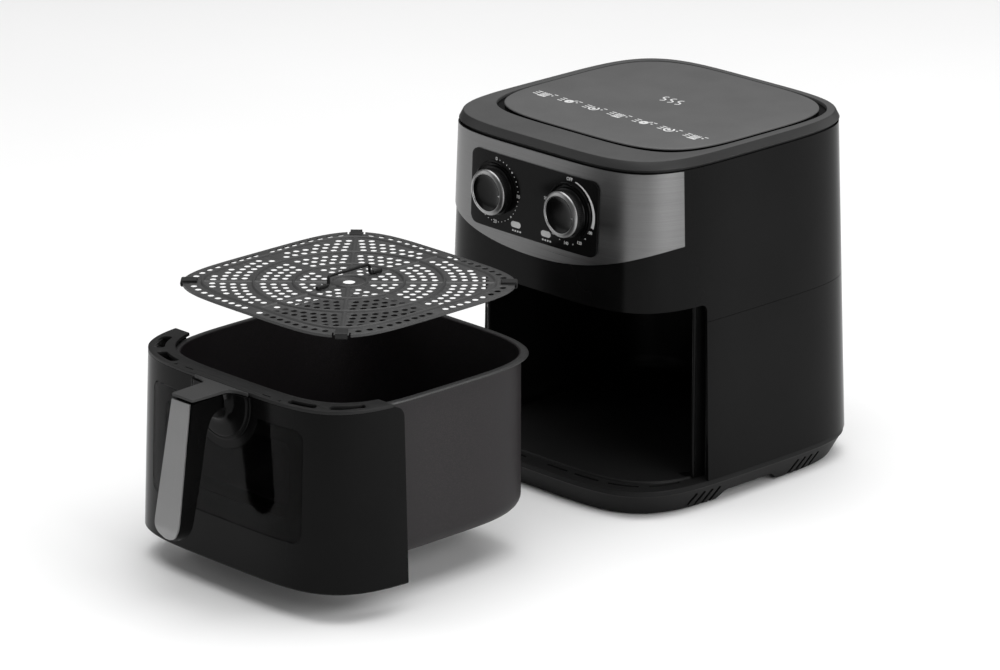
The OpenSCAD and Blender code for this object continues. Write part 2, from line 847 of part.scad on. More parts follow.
module pan() {
  color("#38343a") drawn_out() difference() {
    on_pan_axis() difference() {
      union() {
        pan_body(0, pan_low_z, rim_z - 1);
        block(pan_half + rim_w, pan_half + rim_w, pan_n, rim_z - 2, rim_z);
      }
      pan_body(pan_wall, pan_low_z + pan_wall, rim_z + 1);
    }
    along_y(-big, 0) rounded_square(pan_slot_half + gap, pan_slot_z[0] - gap,
      pan_slot_z[1] + gap, 6);
  }
}

module pan_window() {
  front_y = -pan_half + pan_y;
  color("#2a2a2c", 0.5) drawn_out()
    along_y(front_y - 3.4, front_y + pan_wall - 0.2)
      rounded_square(pan_slot_half - gap, pan_slot_z[0] + gap, pan_slot_z[1] - gap, 6);
}

// ---------------------------------------------------------------- crisper tray

// Rounded-square rows of holes, kept clear of the ribs and the bail's lugs
module hole_row(k) {
  a = 12 + (tray_half - 17) * k / hole_rows;
  n = 2 + (pan_n - 2) * k / hole_rows;
  count = 8 * ceil(a * 0.78 / (hole_d + 2.6) / 1.25);
  for (i = [0:count - 1]) let (t = 360 * (i + 0.5) / count,
    r = a / pow(pow(abs(cos(t)), n) + pow(abs(sin(t)), n), 1 / n),
    x = r * cos(t), y = r * sin(t))
    if (!(abs(x) < 7 && abs(y) > 20 && abs(y) < 42)) translate([x, y]) circle(hole_d / 2, $fn = 16);
}

module crisper_tray() {
  color("#6b6b6c") on_tray() {
    linear_extrude(tray_t) difference() {
      outline(tray_half, tray_half, tray_n);
      circle(6.5);
      for (k = [1:hole_rows]) hole_row(k);
    }
    difference() {
      block(tray_half, tray_half, tray_n, -tray_skirt, 0.1);
      block(tray_half - 1.4, tray_half - 1.4, tray_n, -tray_skirt - 1, 1);
    }
  }
}

module tray_clips() {
  corner = tray_half * pow(2, -1 / tray_n);
  color("#161616") on_tray() for (a = [45:90:315]) rotate([0, 0, a])
    translate([corner * sqrt(2), 0, 0]) difference() {
      span_box([clip_r[0], -5, clip_z[0]], [clip_r[1], 5, clip_z[1]]);
      span_box([clip_r[0] - 1, -6, clip_z[0] + clip_t], [0.4, 6, tray_t + 0.3]);
    }
}

// Lugs on the plate that hold the feet of the wire bail
module bail_lugs() {
  color("#2a2a2a") on_tray() for (side = [-1, 1]) difference() {
    span_box([-3.5, side * 31 - 4, tray_t + 0.1], [3.5, side * 31 + 4, bail_z + 2.4]);
    translate([0, 0, bail_z]) bar_y(1.5, -40, 40);
  }
}

// Wire bail: two feet in the lugs, two legs and the bar between them
module tray_bail() {
  wire = 1.2;
  foot = 35;
  leg = 23;
  color("#202020") on_tray() translate([0, 0, bail_z]) {
    for (side = [-1, 1]) {
      bar_y(wire, side > 0 ? leg : -foot, side > 0 ? foot : -leg);
      translate([0, side * leg, 0]) sphere(wire, $fn = 24);
      translate([0, side * leg, 0]) cylinder(h = bail_h, r = wire, $fn = 24);
      translate([0, side * leg, bail_h]) sphere(wire, $fn = 24);
    }
    translate([0, 0, bail_h]) bar_y(wire, -leg, leg);
  }
}

// ---------------------------------------------------------------- knobs, fans and shafts

module knob_body() {
  skirt_y = knob_front_y + 2.6;
  back_y = -143.4;
  difference() {
    union() {
      bar_y(knob_r - 1.2, skirt_y, back_y);
      bar_y(knob_r - 3.6, knob_front_y + 0.8, skirt_y + 0.5);
      for (a = [0:15:345]) rotate([0, a, 0]) translate([knob_r - 1.3, 0, 0])
        bar_y(0.7, skirt_y, back_y - 1);
    }
    translate([0, knob_front_y - 26, 0]) sphere(28.6, $fn = 48);
    bar_y(shaft_r, -148.5, -140);
  }
}

module knob_ring() {
  bevel = 0.8;
  difference() {
    union() {
      bar_y(knob_r, knob_front_y + bevel, knob_front_y + 2.6);
      bar_y(knob_r - bevel, knob_front_y, knob_front_y + 1);
    }
    bar_y(knob_r - 3.5, knob_front_y - 1, knob_front_y + 4);
    span_box([knob_r - 4, knob_front_y - 1, -0.9], [knob_r - 1.6, knob_front_y + 0.9, 0.9]);
  }
}

module knob_shaft() bar_y(shaft_r, -148.5, -122);

module timer_knob() color("#111112") on_knob(-1) knob_body();
module timer_knob_ring() color("#b9b9b9") on_knob(-1) knob_ring();
module timer_shaft() color("#c8c8c8") on_knob(-1) knob_shaft();
module temperature_knob() color("#111112") on_knob(1) knob_body();
module temperature_knob_ring() color("#b9b9b9") on_knob(1) knob_ring();
module temperature_shaft() color("#c8c8c8") on_knob(1) knob_shaft();

module motor_shaft() {
  color("#d5d5d5") home() on_pan_axis()
    translate([0, 0, 209]) cylinder(h = motor_z[1] + 3 - 209, r = shaft_r);
}

// A fan of upright blades on a disc with a hub
module fan(r, z0, z_disc, z1, blades) {
  difference() {
    union() {
      translate([0, 0, z_disc]) cylinder(h = 1, r = r, $fn = 72);
      translate([0, 0, z0]) cylinder(h = z1 - z0, r = 8);
      for (i = [0:blades - 1]) rotate([0, 0, 360 * i / blades]) translate([r * 0.42, 0, z0])
        rotate([0, 0, 25]) cube([r * 0.5, 1, z1 - z0]);
    }
    translate([0, 0, z0 - 1]) cylinder(h = z1 - z0 + 2, r = shaft_r);
  }
}

module convection_fan() color("#c4c4c4") home() on_pan_axis() fan(fan_r, 211, 223.6, 225, 12);
module cooling_fan() color("#9c9c9c") home() on_pan_axis() fan(cooler_r, 236, 236.4, 248, 10);

base();
rubber_feet();
lower_housing();
upper_housing();
top_cover();
lid_panel();
steel_band();
control_panel();
power_lens();
heat_lens();
indicator_lamps();
timer_unit();
thermostat();
thermostat_sensor();
cavity_liner();
pan_rails();
heat_shield();
heating_element();
element_brackets();
element_guard();
motor();
motor_bracket();
rear_vent();
cord_inlet();
microswitch();
thermal_fuse();
terminal_block();
base_screws();
bracket_screws();
drawer_front();
window_glass();
window_seal();
drawer_top_frame();
handle();
handle_cap();
handle_trim();
handle_screws();
pan_bracket();
pan();
pan_window();
crisper_tray();
tray_clips();
bail_lugs();
tray_bail();
timer_knob();
timer_knob_ring();
timer_shaft();
temperature_knob();
temperature_knob_ring();
temperature_shaft();
motor_shaft();
convection_fan();
cooling_fan();
switch_plunger();
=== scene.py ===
"""Drawer air fryer: finished meshes, materials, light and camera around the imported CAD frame.

Shapes are in millimetres around the axis of their group, and are set down where the frame has
that group. A ring profile is (growth or half width, height), and a turned one (radius, depth).
"""
import json
from math import atan2, cos, pi, radians, sin, sqrt

import bmesh
import bpy
from mathutils import Matrix, Vector


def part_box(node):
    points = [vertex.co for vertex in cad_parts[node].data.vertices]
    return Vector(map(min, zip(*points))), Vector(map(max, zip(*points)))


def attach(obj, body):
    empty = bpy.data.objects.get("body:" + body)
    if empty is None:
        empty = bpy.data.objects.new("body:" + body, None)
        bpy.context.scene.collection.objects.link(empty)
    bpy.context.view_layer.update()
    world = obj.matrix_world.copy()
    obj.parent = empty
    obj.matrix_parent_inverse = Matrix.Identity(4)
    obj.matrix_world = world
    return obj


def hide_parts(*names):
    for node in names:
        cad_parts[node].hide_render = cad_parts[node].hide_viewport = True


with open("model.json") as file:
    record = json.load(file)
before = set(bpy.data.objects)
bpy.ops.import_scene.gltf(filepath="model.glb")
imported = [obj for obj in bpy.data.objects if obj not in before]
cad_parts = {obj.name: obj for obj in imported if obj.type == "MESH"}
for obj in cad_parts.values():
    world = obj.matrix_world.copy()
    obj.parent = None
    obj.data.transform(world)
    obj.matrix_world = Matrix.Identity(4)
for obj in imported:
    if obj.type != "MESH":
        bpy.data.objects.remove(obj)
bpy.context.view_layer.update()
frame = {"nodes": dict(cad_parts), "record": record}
MM = 0.001


def middle(node):
    low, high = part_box(node)
    return (low + high) / 2


def low_of(node):
    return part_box(node)[0].z / MM


# Places of the groups, from the frame
HOUSING = Vector((0, middle("top_cover").y, 0))
PAN_BACK = 2.5
DRAWER = Vector((0, middle("pan").y, 0)) + Vector((0, PAN_BACK * MM, 0))
LUG_LOW = 1.7
TRAY = Vector((0, middle("crisper_tray").y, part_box("bail_lugs")[0].z - LUG_LOW * MM))
KNOB_Z = middle("timer_knob_ring").z / MM
KNOB_X = middle("temperature_knob_ring").x / MM
KNOB_FRONT = (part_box("timer_knob_ring")[0].y - HOUSING.y) / MM

# Outline of the body, the same rule as in the CAD model
WIDEST_Z = 38
BODY_N = 4.5
PAN_N = 4.2
BODY_W = (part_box("lower_housing")[1].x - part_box("lower_housing")[0].x) / MM
BODY_D = 2 * (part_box("lower_housing")[1].y - HOUSING.y) / MM
TAPER_W = 14
TAPER_D = 20
TAPER_H = 276
SIDES = 240

# Housing
WALL = 2.5
SEAM_GAP = 0.3
SILL_Z = 25
SEAM_Z = low_of("upper_housing")
LINTEL_Z = 184
WALL_TOP = low_of("top_cover")
JAMB_Y = -66
LINER_Y = -71
PLUNGER = (-130.8, 120)

# How far the cutters reach
FAR = 300
WIDE = 200
FRONT_CUT = (-170, -100)


def half_w(z):
    return (BODY_W - TAPER_W * (z - WIDEST_Z) / TAPER_H) / 2


def half_d(z):
    return (BODY_D - TAPER_D * (z - WIDEST_Z) / TAPER_H) / 2


# ---- points and outlines

def spread(low, high, steps):
    """Evenly spaced values from one end to the other."""
    return [low + (high - low) * i / steps for i in range(steps + 1)]


def circle(x, y, r, steps):
    return [(x + r * cos(2 * pi * i / steps), y + r * sin(2 * pi * i / steps)) for i in range(steps)]


def rect(x0, y0, x1, y1):
    return [(x0, y0), (x1, y0), (x1, y1), (x0, y1)]


def arc(cx, cy, r, a0, a1, steps):
    """Points on an arc between two angles in degrees."""
    return [(cx + r * cos(radians(a)), cy + r * sin(radians(a))) for a in spread(a0, a1, steps)]


def rounded_rect(x0, z0, x1, z1, r, steps=6):
    return (arc(x1 - r, z0 + r, r, -90, 0, steps) + arc(x1 - r, z1 - r, r, 0, 90, steps)
            + arc(x0 + r, z1 - r, r, 90, 180, steps) + arc(x0 + r, z0 + r, r, 180, 270, steps))


def level(points, z):
    return [Vector((x, y, z)) for x, y in points]


def outline_point(a, b, n, t):
    """A point of a rounded square with half sizes a and b. The larger n is, the squarer it is."""
    c, s = cos(t), sin(t)
    r = (abs(c / a) ** n + abs(s / b) ** n) ** (-1 / n)
    return r * c, r * s


def ring(a, b, n, z, centre_y=0.0):
    points = []
    for i in range(SIDES):
        x, y = outline_point(a, b, n, 2 * pi * i / SIDES)
        points.append(Vector((x, y + centre_y, z)))
    return points


def body_ring(grow, z):
    return ring(half_w(z) + grow, half_d(z) + grow, BODY_N, z)


def sill_ring(grow, z):
    """A ring with the size that the body has at its sill."""
    return ring(half_w(SILL_Z) + grow, half_d(SILL_Z) + grow, BODY_N, z)


def pan_ring(half, z):
    return ring(half, half, PAN_N, z, -PAN_BACK)


def front_angle(a, b, n, edge_y, share):
    """An angle on the front stretch of an outline: share is 0 at its left end, 1 at its right."""
    right = atan2(edge_y, a * (1 - abs(edge_y / b) ** n) ** (1 / n))
    return (-pi - right) + (2 * right + pi) * share


def front_y(x, z, out):
    """The body's front surface at a place, moved outwards."""
    a, b = half_w(z) + out, half_d(z) + out
    return -b * (1 - abs(x / a) ** BODY_N) ** (1 / BODY_N)


# ---- mesh building

def loft(bm, rings, loop=False):
    """Quads between neighbouring rings. Its ends get a cap, or are joined together in a loop."""
    rows = [[bm.verts.new(p) for p in points] for points in rings]
    count = len(rows[0])
    pairs = list(zip(rows, rows[1:]))
    if loop:
        pairs.append((rows[-1], rows[0]))
    for low, high in pairs:
        for i in range(count):
            j = (i + 1) % count
            bm.faces.new((low[i], low[j], high[j], high[i]))
    if not loop:
        bm.faces.new(rows[0][::-1])
        bm.faces.new(rows[-1])
    return bm


def solid(rings, loop=False):
    return loft(bmesh.new(), rings, loop)


def grid_solid(front, back, bm=None):
    """A closed sheet between two grids of points of the same size."""
    bm = bm or bmesh.new()
    rows, cols = len(front), len(front[0])
    faces = [[[bm.verts.new(p) for p in row] for row in grid] for grid in (front, back)]
    for side, grid in enumerate(faces):
        for i in range(rows - 1):
            for j in range(cols - 1):
                quad = [grid[i][j], grid[i][j + 1], grid[i + 1][j + 1], grid[i + 1][j]]
                bm.faces.new(quad if side == 0 else quad[::-1])
    edge = [(0, j) for j in range(cols)] + [(i, cols - 1) for i in range(1, rows)]
    edge += [(rows - 1, j) for j in range(cols - 2, -1, -1)]
    edge += [(i, 0) for i in range(rows - 2, 0, -1)]
    for (i, j), (k, l) in zip(edge, edge[1:] + edge[:1]):
        bm.faces.new((faces[0][i][j], faces[1][i][j], faces[1][k][l], faces[0][k][l]))
    return bm


def prism(points, low, high, axis):
    """A flat outline drawn out along an axis."""
    place = {
        "x": lambda p, h: (h, p[0], p[1]),
        "y": lambda p, h: (p[0], h, p[1]),
        "z": lambda p, h: (p[0], p[1], h),
    }[axis]
    return solid([[Vector(place(p, h)) for p in points] for h in (low, high)])


def front_cutter(y):
    """Everything in front of a plane across the body."""
    return prism(rect(-FAR, -FAR, FAR, y), 0, FAR, "z")


def lathe_y(profile, x=0.0, z=0.0, steps=96, ridges=0, loop=False):
    """A turned profile round an axis along Y. A third value is the depth of the ridges there."""
    rings = []
    for radius, y, *ripple in profile:
        depth = ripple[0] if ripple else 0.0
        points = []
        for i in range(steps):
            t = 2 * pi * i / steps
            r = radius + depth * sqrt(abs(cos(ridges * t / 2)))
            points.append(Vector((x + r * cos(t), y, z + r * sin(t))))
        rings.append(points)
    return solid(rings, loop)


def tube(bm, path, radius, sides=12):
    """A round wire along a path of points, closed at both ends."""
    rings = []
    path = [Vector(p) for p in path]
    side = path[1] - path[0]
    side = side.normalized().orthogonal().normalized()
    for i, p in enumerate(path):
        ahead = (path[min(i + 1, len(path) - 1)] - path[max(i - 1, 0)]).normalized()
        side = (side - ahead * side.dot(ahead)).normalized()
        other = ahead.cross(side)
        rings.append([p + radius * (cos(t) * side + sin(t) * other)
                      for t in (2 * pi * k / sides for k in range(sides))])
    return loft(bm, rings)


def rounded_columns(x0, x1, z0, z1, r, flats=24, corner=6):
    """Columns (x, low, high) across a rectangle with round corners."""
    columns = []
    for i in range(corner + 1):
        t = pi / 2 * (1 - i / corner)
        columns.append((x0 + r - r * sin(t), z0 + r - r * cos(t), z1 - r + r * cos(t)))
    for i in range(1, flats):
        columns.append((x0 + r + (x1 - x0 - 2 * r) * i / flats, z0, z1))
    columns += [(x0 + x1 - x, low, high) for x, low, high in reversed(columns[:corner + 1])]
    return columns


def front_plate(columns, out, back, rows=4):
    """A plate that follows the front of the body, from one depth to another."""
    grids = []
    for depth in (out, back):
        heights = [spread(low, high, rows) for _, low, high in columns]
        grids.append([[Vector((x, front_y(x, zs[j], depth), zs[j]))
                       for (x, _, _), zs in zip(columns, heights)] for j in range(rows + 1)])
    return grid_solid(*grids)


def link(obj):
    bpy.context.scene.collection.objects.link(obj)
    return obj


def make(name, bm, origin):
    """Turns a millimetre bmesh into an object set down at an origin."""
    bmesh.ops.recalc_face_normals(bm, faces=bm.faces)
    bm.transform(Matrix.Translation(origin) @ Matrix.Scale(MM, 4))
    mesh = bpy.data.meshes.new(name)
    bm.to_mesh(mesh)
    bm.free()
    return link(bpy.data.objects.new(name, mesh))


def apply_modifiers(obj):
    depsgraph = bpy.context.evaluated_depsgraph_get()
    mesh = bpy.data.meshes.new_from_object(obj.evaluated_get(depsgraph))
    obj.modifiers.clear()
    old = obj.data
    obj.data = mesh
    bpy.data.meshes.remove(old)


def cut_with(obj, tool):
    """Cuts one object by another and deletes the second."""
    boolean = obj.modifiers.new("cut", "BOOLEAN")
    boolean.object = tool
    boolean.solver = "EXACT"
    apply_modifiers(obj)
    bpy.data.objects.remove(tool)


def cut(obj, cutters, origin):
    for number, cutter in enumerate(cutters):
        cut_with(obj, make(f"{obj.name}_tool{number}", cutter, origin))


def join(parts):
    whole = bmesh.new()
    for part in parts:
        mesh = bpy.data.meshes.new("join")
        part.to_mesh(mesh)
        part.free()
        whole.from_mesh(mesh)
        bpy.data.meshes.remove(mesh)
    return whole


def filled(curve):
    holder = link(bpy.data.objects.new(curve.name, curve))
    depsgraph = bpy.context.evaluated_depsgraph_get()
    mesh = bpy.data.meshes.new_from_object(holder.evaluated_get(depsgraph))
    bm = bmesh.new()
    bm.from_mesh(mesh)
    bpy.data.objects.remove(holder)
    bpy.data.meshes.remove(mesh)
    bpy.data.curves.remove(curve)
    return bm


def flat_plate(name, outlines, z0, z1, soften=0.4):
    """A flat plate with holes, made from closed outlines, with rounded edges."""
    curve = bpy.data.curves.new(name, "CURVE")
    curve.dimensions = "2D"
    curve.fill_mode = "BOTH"
    for points in outlines:
        spline = curve.splines.new("POLY")
        spline.points.add(len(points) - 1)
        spline.use_cyclic_u = True
        for target, p in zip(spline.points, points):
            target.co = (p[0], p[1], 0, 1)
    curve.extrude = (z1 - z0) / 2 - soften
    curve.bevel_depth = soften
    curve.bevel_resolution = 1
    curve.offset = -soften
    bm = filled(curve)
    bmesh.ops.remove_doubles(bm, verts=bm.verts, dist=0.0005)
    bm.transform(Matrix.Translation((0, 0, (z0 + z1) / 2)))
    return bm


BEVEL_STEPS = 2
BEVEL_ANGLE = 35


def piece(obj, body, slot, nodes=(), bevel=0.0, smooth=32):
    """Softens the edges, sets the shading and material, puts the piece on its body and hides the CAD
    nodes it replaces.
    """
    if bevel:
        soft = obj.modifiers.new("bevel", "BEVEL")
        soft.width = bevel * MM
        soft.segments = BEVEL_STEPS
        soft.limit_method = "ANGLE"
        soft.angle_limit = radians(BEVEL_ANGLE)
        soft.use_clamp_overlap = True
        apply_modifiers(obj)
    obj.data.shade_smooth()
    obj.data.set_sharp_from_angle(angle=radians(smooth))
    if bevel:
        weighted = obj.modifiers.new("weighted", "WEIGHTED_NORMAL")
        weighted.keep_sharp = True
        apply_modifiers(obj)
    obj.data.materials.clear()
    obj.data.materials.append(material(slot))
    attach(obj, body)
    if nodes:
        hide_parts(*nodes)


# ---- materials

def shader(name, color, roughness, **sockets):
    mat = bpy.data.materials.new(name)
    mat.use_nodes = True
    bsdf = mat.node_tree.nodes["Principled BSDF"]
    bsdf.inputs["Base Color"].default_value = (*color, 1)
    bsdf.inputs["Roughness"].default_value = roughness
    for socket, value in sockets.items():
        bsdf.inputs[socket.replace("_", " ")].default_value = value
    return mat


def add_node(mat, kind, **values):
    """A node with values for its inputs. A name that isn't an input's is the node's own setting."""
    node = mat.node_tree.nodes.new(kind)
    for key, value in values.items():
        if key in node.inputs.keys():
            node.inputs[key].default_value = value
        else:
            setattr(node, key, value)
    return node


def noise(mat, scale, stretch=(1, 1, 1), detail=3.0):
    """A noise texture in the object's own space, in features per metre."""
    tree = mat.node_tree
    coords = add_node(mat, "ShaderNodeTexCoord")
    mapping = add_node(mat, "ShaderNodeMapping", Scale=stretch)
    texture = add_node(mat, "ShaderNodeTexNoise", Scale=scale, Detail=detail)
    tree.links.new(coords.outputs["Object"], mapping.inputs["Vector"])
    tree.links.new(mapping.outputs["Vector"], texture.inputs["Vector"])
    return texture.outputs["Fac"]


def remap(mat, source, low, high, from_low=0.3, from_high=0.7):
    node = add_node(mat, "ShaderNodeMapRange")
    node.inputs["From Min"].default_value = from_low
    node.inputs["From Max"].default_value = from_high
    node.inputs["To Min"].default_value = low
    node.inputs["To Max"].default_value = high
    mat.node_tree.links.new(source, node.inputs["Value"])
    return node.outputs["Result"]


def vary_roughness(mat, source, low, high):
    bsdf = mat.node_tree.nodes["Principled BSDF"]
    mat.node_tree.links.new(remap(mat, source, low, high), bsdf.inputs["Roughness"])


def vary_color(mat, source, dark, light, from_low=0.3, from_high=0.7):
    """The base colour goes from dark to light with the source."""
    bsdf = mat.node_tree.nodes["Principled BSDF"]
    mix = add_node(mat, "ShaderNodeMix", data_type="RGBA")
    ends = {"A": dark, "B": light}
    for socket in mix.inputs:
        if socket.type == "RGBA":
            socket.default_value = (*ends[socket.name], 1)
    share = remap(mat, source, 0, 1, from_low, from_high)
    mat.node_tree.links.new(share, mix.inputs[0])
    result = [output for output in mix.outputs if output.type == "RGBA"][0]
    mat.node_tree.links.new(result, bsdf.inputs["Base Color"])


def bump(mat, source, strength, depth_mm):
    bsdf = mat.node_tree.nodes["Principled BSDF"]
    node = add_node(mat, "ShaderNodeBump", Strength=strength, Distance=depth_mm * MM)
    mat.node_tree.links.new(source, node.inputs["Height"])
    mat.node_tree.links.new(node.outputs["Normal"], bsdf.inputs["Normal"])


def grey(value, warm=0.0):
    return (value * (1 + warm), value, value * (1 - warm * 0.5))


def gloss(name, value, rough=0.2, specular=0.075):
    """Smooth lacquer or moulded plastic, a little wavy."""
    mat = shader(name, grey(value), rough, Specular_IOR_Level=specular)
    wide = noise(mat, 14)
    vary_roughness(mat, wide, rough * 0.85, rough * 1.2)
    vary_color(mat, wide, grey(value * 0.8), grey(value * 1.2))
    bump(mat, noise(mat, 900, detail=1.0), 0.02, 0.05)
    return mat


def satin(name, value, rough=0.5, specular=0.4, grain=2200, depth=0.05):
    """Moulded plastic, rubber or coating with a fine grain."""
    mat = shader(name, grey(value), rough, Specular_IOR_Level=specular)
    fine = noise(mat, grain)
    vary_roughness(mat, fine, rough * 0.9, rough * 1.12)
    vary_color(mat, noise(mat, 30), grey(value * 0.94), grey(value * 1.06))
    bump(mat, fine, 0.25, depth)
    return mat


def brushed(name, value, rough=0.32, stretch=(12, 12, 2600), contrast=0.12):
    """Steel with fine lines, across the axis that is stretched most."""
    mat = shader(name, grey(value), rough, Metallic=1.0)
    lines = noise(mat, 1.0, stretch, detail=4.0)
    vary_roughness(mat, lines, rough * 0.85, rough * 1.2)
    vary_color(mat, lines, grey(value * (1 - contrast)), grey(value * (1 + contrast)))
    bump(mat, lines, 0.12, 0.04)
    return mat


def metal(name, color, rough):
    mat = shader(name, color, rough, Metallic=1.0)
    spots = noise(mat, 400)
    vary_roughness(mat, spots, rough * 0.8, rough * 1.3)
    bump(mat, spots, 0.05, 0.03)
    return mat


def coating(name):
    """Dark non-stick coating with a fine lighter speckle."""
    dark, light = (0.0086, 0.0073, 0.0079), (0.0235, 0.0199, 0.0215)
    mat = shader(name, light, 0.48, Specular_IOR_Level=0.25)
    speckle = noise(mat, 1500, detail=2.0)
    vary_color(mat, speckle, dark, light, 0.45, 0.7)
    vary_roughness(mat, speckle, 0.42, 0.56)
    bump(mat, speckle, 0.35, 0.08)
    return mat


def tinted_glass(name):
    mat = shader(name, grey(0.25), 0.03, Transmission_Weight=1.0, IOR=1.13)
    bump(mat, noise(mat, 60), 0.02, 0.05)
    return mat


# The kind of each material and its values, in the order of the kind's arguments
LOOKS = {
    "black_gloss": (gloss, 0.003),
    "black_satin": (satin, 0.018, 0.42, 0.12),
    # Painted shade: a darker copy of the black satin, for the base low under the body
    "skirt_black_painted_shade": (satin, 0.0095, 0.45, 0.1),
    "cap_black": (satin, 0.042, 0.42, 0.14),
    "charcoal_satin": (satin, 0.086, 0.5, 0.25),
    "charcoal_rim": (satin, 0.062, 0.5, 0.22),
    # Painted shade: a darker copy of the charcoal satin, for the cover's sloped edge that gets less
    # light
    "charcoal_painted_shade": (satin, 0.024, 0.42, 0.2),
    "brushed_band": (brushed, 0.17),
    "panel_gloss": (gloss, 0.004, 0.12),
    "lens_white": (satin, 0.62, 0.35, 0.4, 900, 0.02),
    "insulator": (satin, 0.55, 0.5),
    "zinc_steel": (metal, grey(0.55), 0.35),
    "copper": (metal, (0.7, 0.38, 0.22), 0.3),
    "liner_metal": (gloss, 0.003, 0.34, 0.2),
    "element_steel": (metal, grey(0.1, 0.05), 0.45),
    "chrome_wire": (metal, grey(0.6), 0.15),
    "motor_steel": (metal, grey(0.4), 0.4),
    "screw_steel": (metal, grey(0.5), 0.3),
    "foot_rubber": (satin, 0.012, 0.8, 0.2, 1200, 0.08),
    "seal_rubber": (satin, 0.012, 0.75, 0.2, 1200, 0.08),
    "silicone_black": (satin, 0.01, 0.6, 0.3, 1500, 0.03),
    "smoked_glass": (tinted_glass,),
    "trim_steel": (brushed, 0.25, 0.38, (2600, 40, 12), 0.05),
    "nonstick": (coating,),
    "rim_coating": (satin, 0.03, 0.3, 0.4),
    "tray_coating": (satin, 0.045, 0.42, 0.3, 1800, 0.04),
    "wire_black": (gloss, 0.008, 0.35, 0.2),
    "knob_black": (gloss, 0.003, 0.2, 0.12),
    "chrome_ring": (brushed, 0.3, 0.34, (40, 40, 40), 0.03),
    "fan_metal": (metal, grey(0.6), 0.4),
    "fan_plastic": (satin, 0.3, 0.5),
    "plunger_red": (satin, 0.1, 0.45),
}
# Materials made so far, by name. Some looks above are darker or lighter shades of a material slot of
# the record
MADE = {}


def material(slot):
    if slot not in MADE:
        kind, *values = LOOKS[slot]
        MADE[slot] = kind(slot, *values)
    return MADE[slot]


# ---- camera, light and floor

AZIMUTH, ELEVATION = radians(46.1), radians(18.6)
CAMERA_DISTANCE = 4.5415
CAMERA_AIM = Vector((0, HOUSING.y - 0.1799, 0.1502))
LENS = 191.1
SENSOR = 36
# Place, size and power of the lights, which all face the middle of the object
LIGHTS = {
    "top": ((0, 0.2, 3.2), (4.2, 4.2), 165),
    "left": ((-1.7, -1.3, 0.9), (1.6, 1.2), 7),
    "right": ((1.75, 0.0, 0.75), (1.2, 1.1), 17),
    "back": ((0.9, 2.3, 0.8), (1.8, 1.0), 8),
}
LIGHT_AIM = Vector((0, 0, 0.15))
SKY_STRENGTH = 0.12
FLOOR_HALF = 14000
FLOOR_PLACE = Vector((0, 6, -0.0004))


def add_camera():
    back = Vector((sin(AZIMUTH) * cos(ELEVATION), -cos(AZIMUTH) * cos(ELEVATION), sin(ELEVATION)))
    data = bpy.data.cameras.new("camera")
    data.sensor_width = SENSOR
    data.lens = LENS
    data.clip_end = 60
    camera = bpy.data.objects.new("camera", data)
    camera.location = CAMERA_AIM + back * CAMERA_DISTANCE
    camera.rotation_euler = (-back).to_track_quat("-Z", "Y").to_euler()
    link(camera)
    bpy.context.scene.camera = camera


def area_light(name, place, size, power):
    data = bpy.data.lights.new(name, "AREA")
    data.shape = "RECTANGLE"
    data.size, data.size_y = size
    data.energy = power
    light = bpy.data.objects.new(name, data)
    light.location = place
    light.rotation_euler = (LIGHT_AIM - Vector(place)).to_track_quat("-Z", "Y").to_euler()
    light.visible_camera = False
    link(light)


def add_studio():
    world = bpy.data.worlds.new("studio")
    world.use_nodes = True
    sky = world.node_tree.nodes["Background"]
    sky.inputs["Color"].default_value = (1, 1, 1, 1)
    sky.inputs["Strength"].default_value = SKY_STRENGTH
    bpy.context.scene.world = world
    bpy.context.scene.view_settings.view_transform = "Standard"
    for name, (place, size, power) in LIGHTS.items():
        area_light(name, place, size, power)
    bm = bmesh.new()
    bmesh.ops.create_grid(bm, x_segments=8, y_segments=8, size=FLOOR_HALF)
    floor = make("floor", bm, FLOOR_PLACE)
    mat = shader("floor", grey(0.86), 0.75, Specular_IOR_Level=0.1)
    vary_color(mat, noise(mat, 2.0), grey(0.85), grey(0.87))
    floor.data.materials.append(mat)


# ---- housing

SKIRT_X = 138
SLIT = (-1.6, -7.4, 1.6, 8.6)
SLIT_LEAN = radians(30)
SLIT_MIDDLE_Z = 7.2
SLIT_STARTS = (-78.7, 47.4)
SLIT_PITCH = 9.1
SLIT_COUNT = 4
POCKET_INSETS = (14.2, 11)
POCKET_START, POCKET_PITCH, POCKET_TURN = 5.6, 13.3, 10
POCKET_COUNT = 4
SKIRT_PROFILE = (
    (-8, 21.5), (-6.2, 21.5), (-14.2, 0.8), (-11.6, 0.8), (-10.8, 1.1), (-10.0, 2.2),
    (-2.4, 18.4), (-1.5, 19.8), (-0.9, 20.4), (-0.8, 21), (-0.8, 24), (-1.1, 24.7),
    (-1.8, 25), (-3, 25), (-8, 25))
BAY_LIP = (
    (127.4, 25), (127.0, 26.4), (126.4, 27.0), (125.4, 27.0), (124.8, 26.6), (124.6, 25.2),
    (118, 25), (70, 25))
FOOT_PROFILE = ((3, 0.8), (3.6, 0.1), (6.2, 0), (6.9, 0.5), (6.9, 3))
FOOT_X, FOOT_Y = 104, 108
JAMB_FACES = (-58.4, -56.6)
JAMB_INNER_X = 127.8
JAMB_WALL_Y = 58
LINER_PROFILE = (
    (127, LINTEL_Z - 0.4), (127, 60), (127, 40), (126.4, 34), (124.6, 29.6), (121.4, 26.6),
    (117, 25.5), (112, 25.3), (112, 25.05), (127.9, 25.05), (128, 60), (128, LINTEL_Z - 0.4))


def slit_cutter(y, side):
    c, s = cos(SLIT_LEAN), sin(SLIT_LEAN)
    turned = [(y + u * c + v * s, SLIT_MIDDLE_Z - u * s + v * c) for u, v in rect(*SLIT)]
    return prism(turned, side * SKIRT_X - 10, side * SKIRT_X + 10, "x")


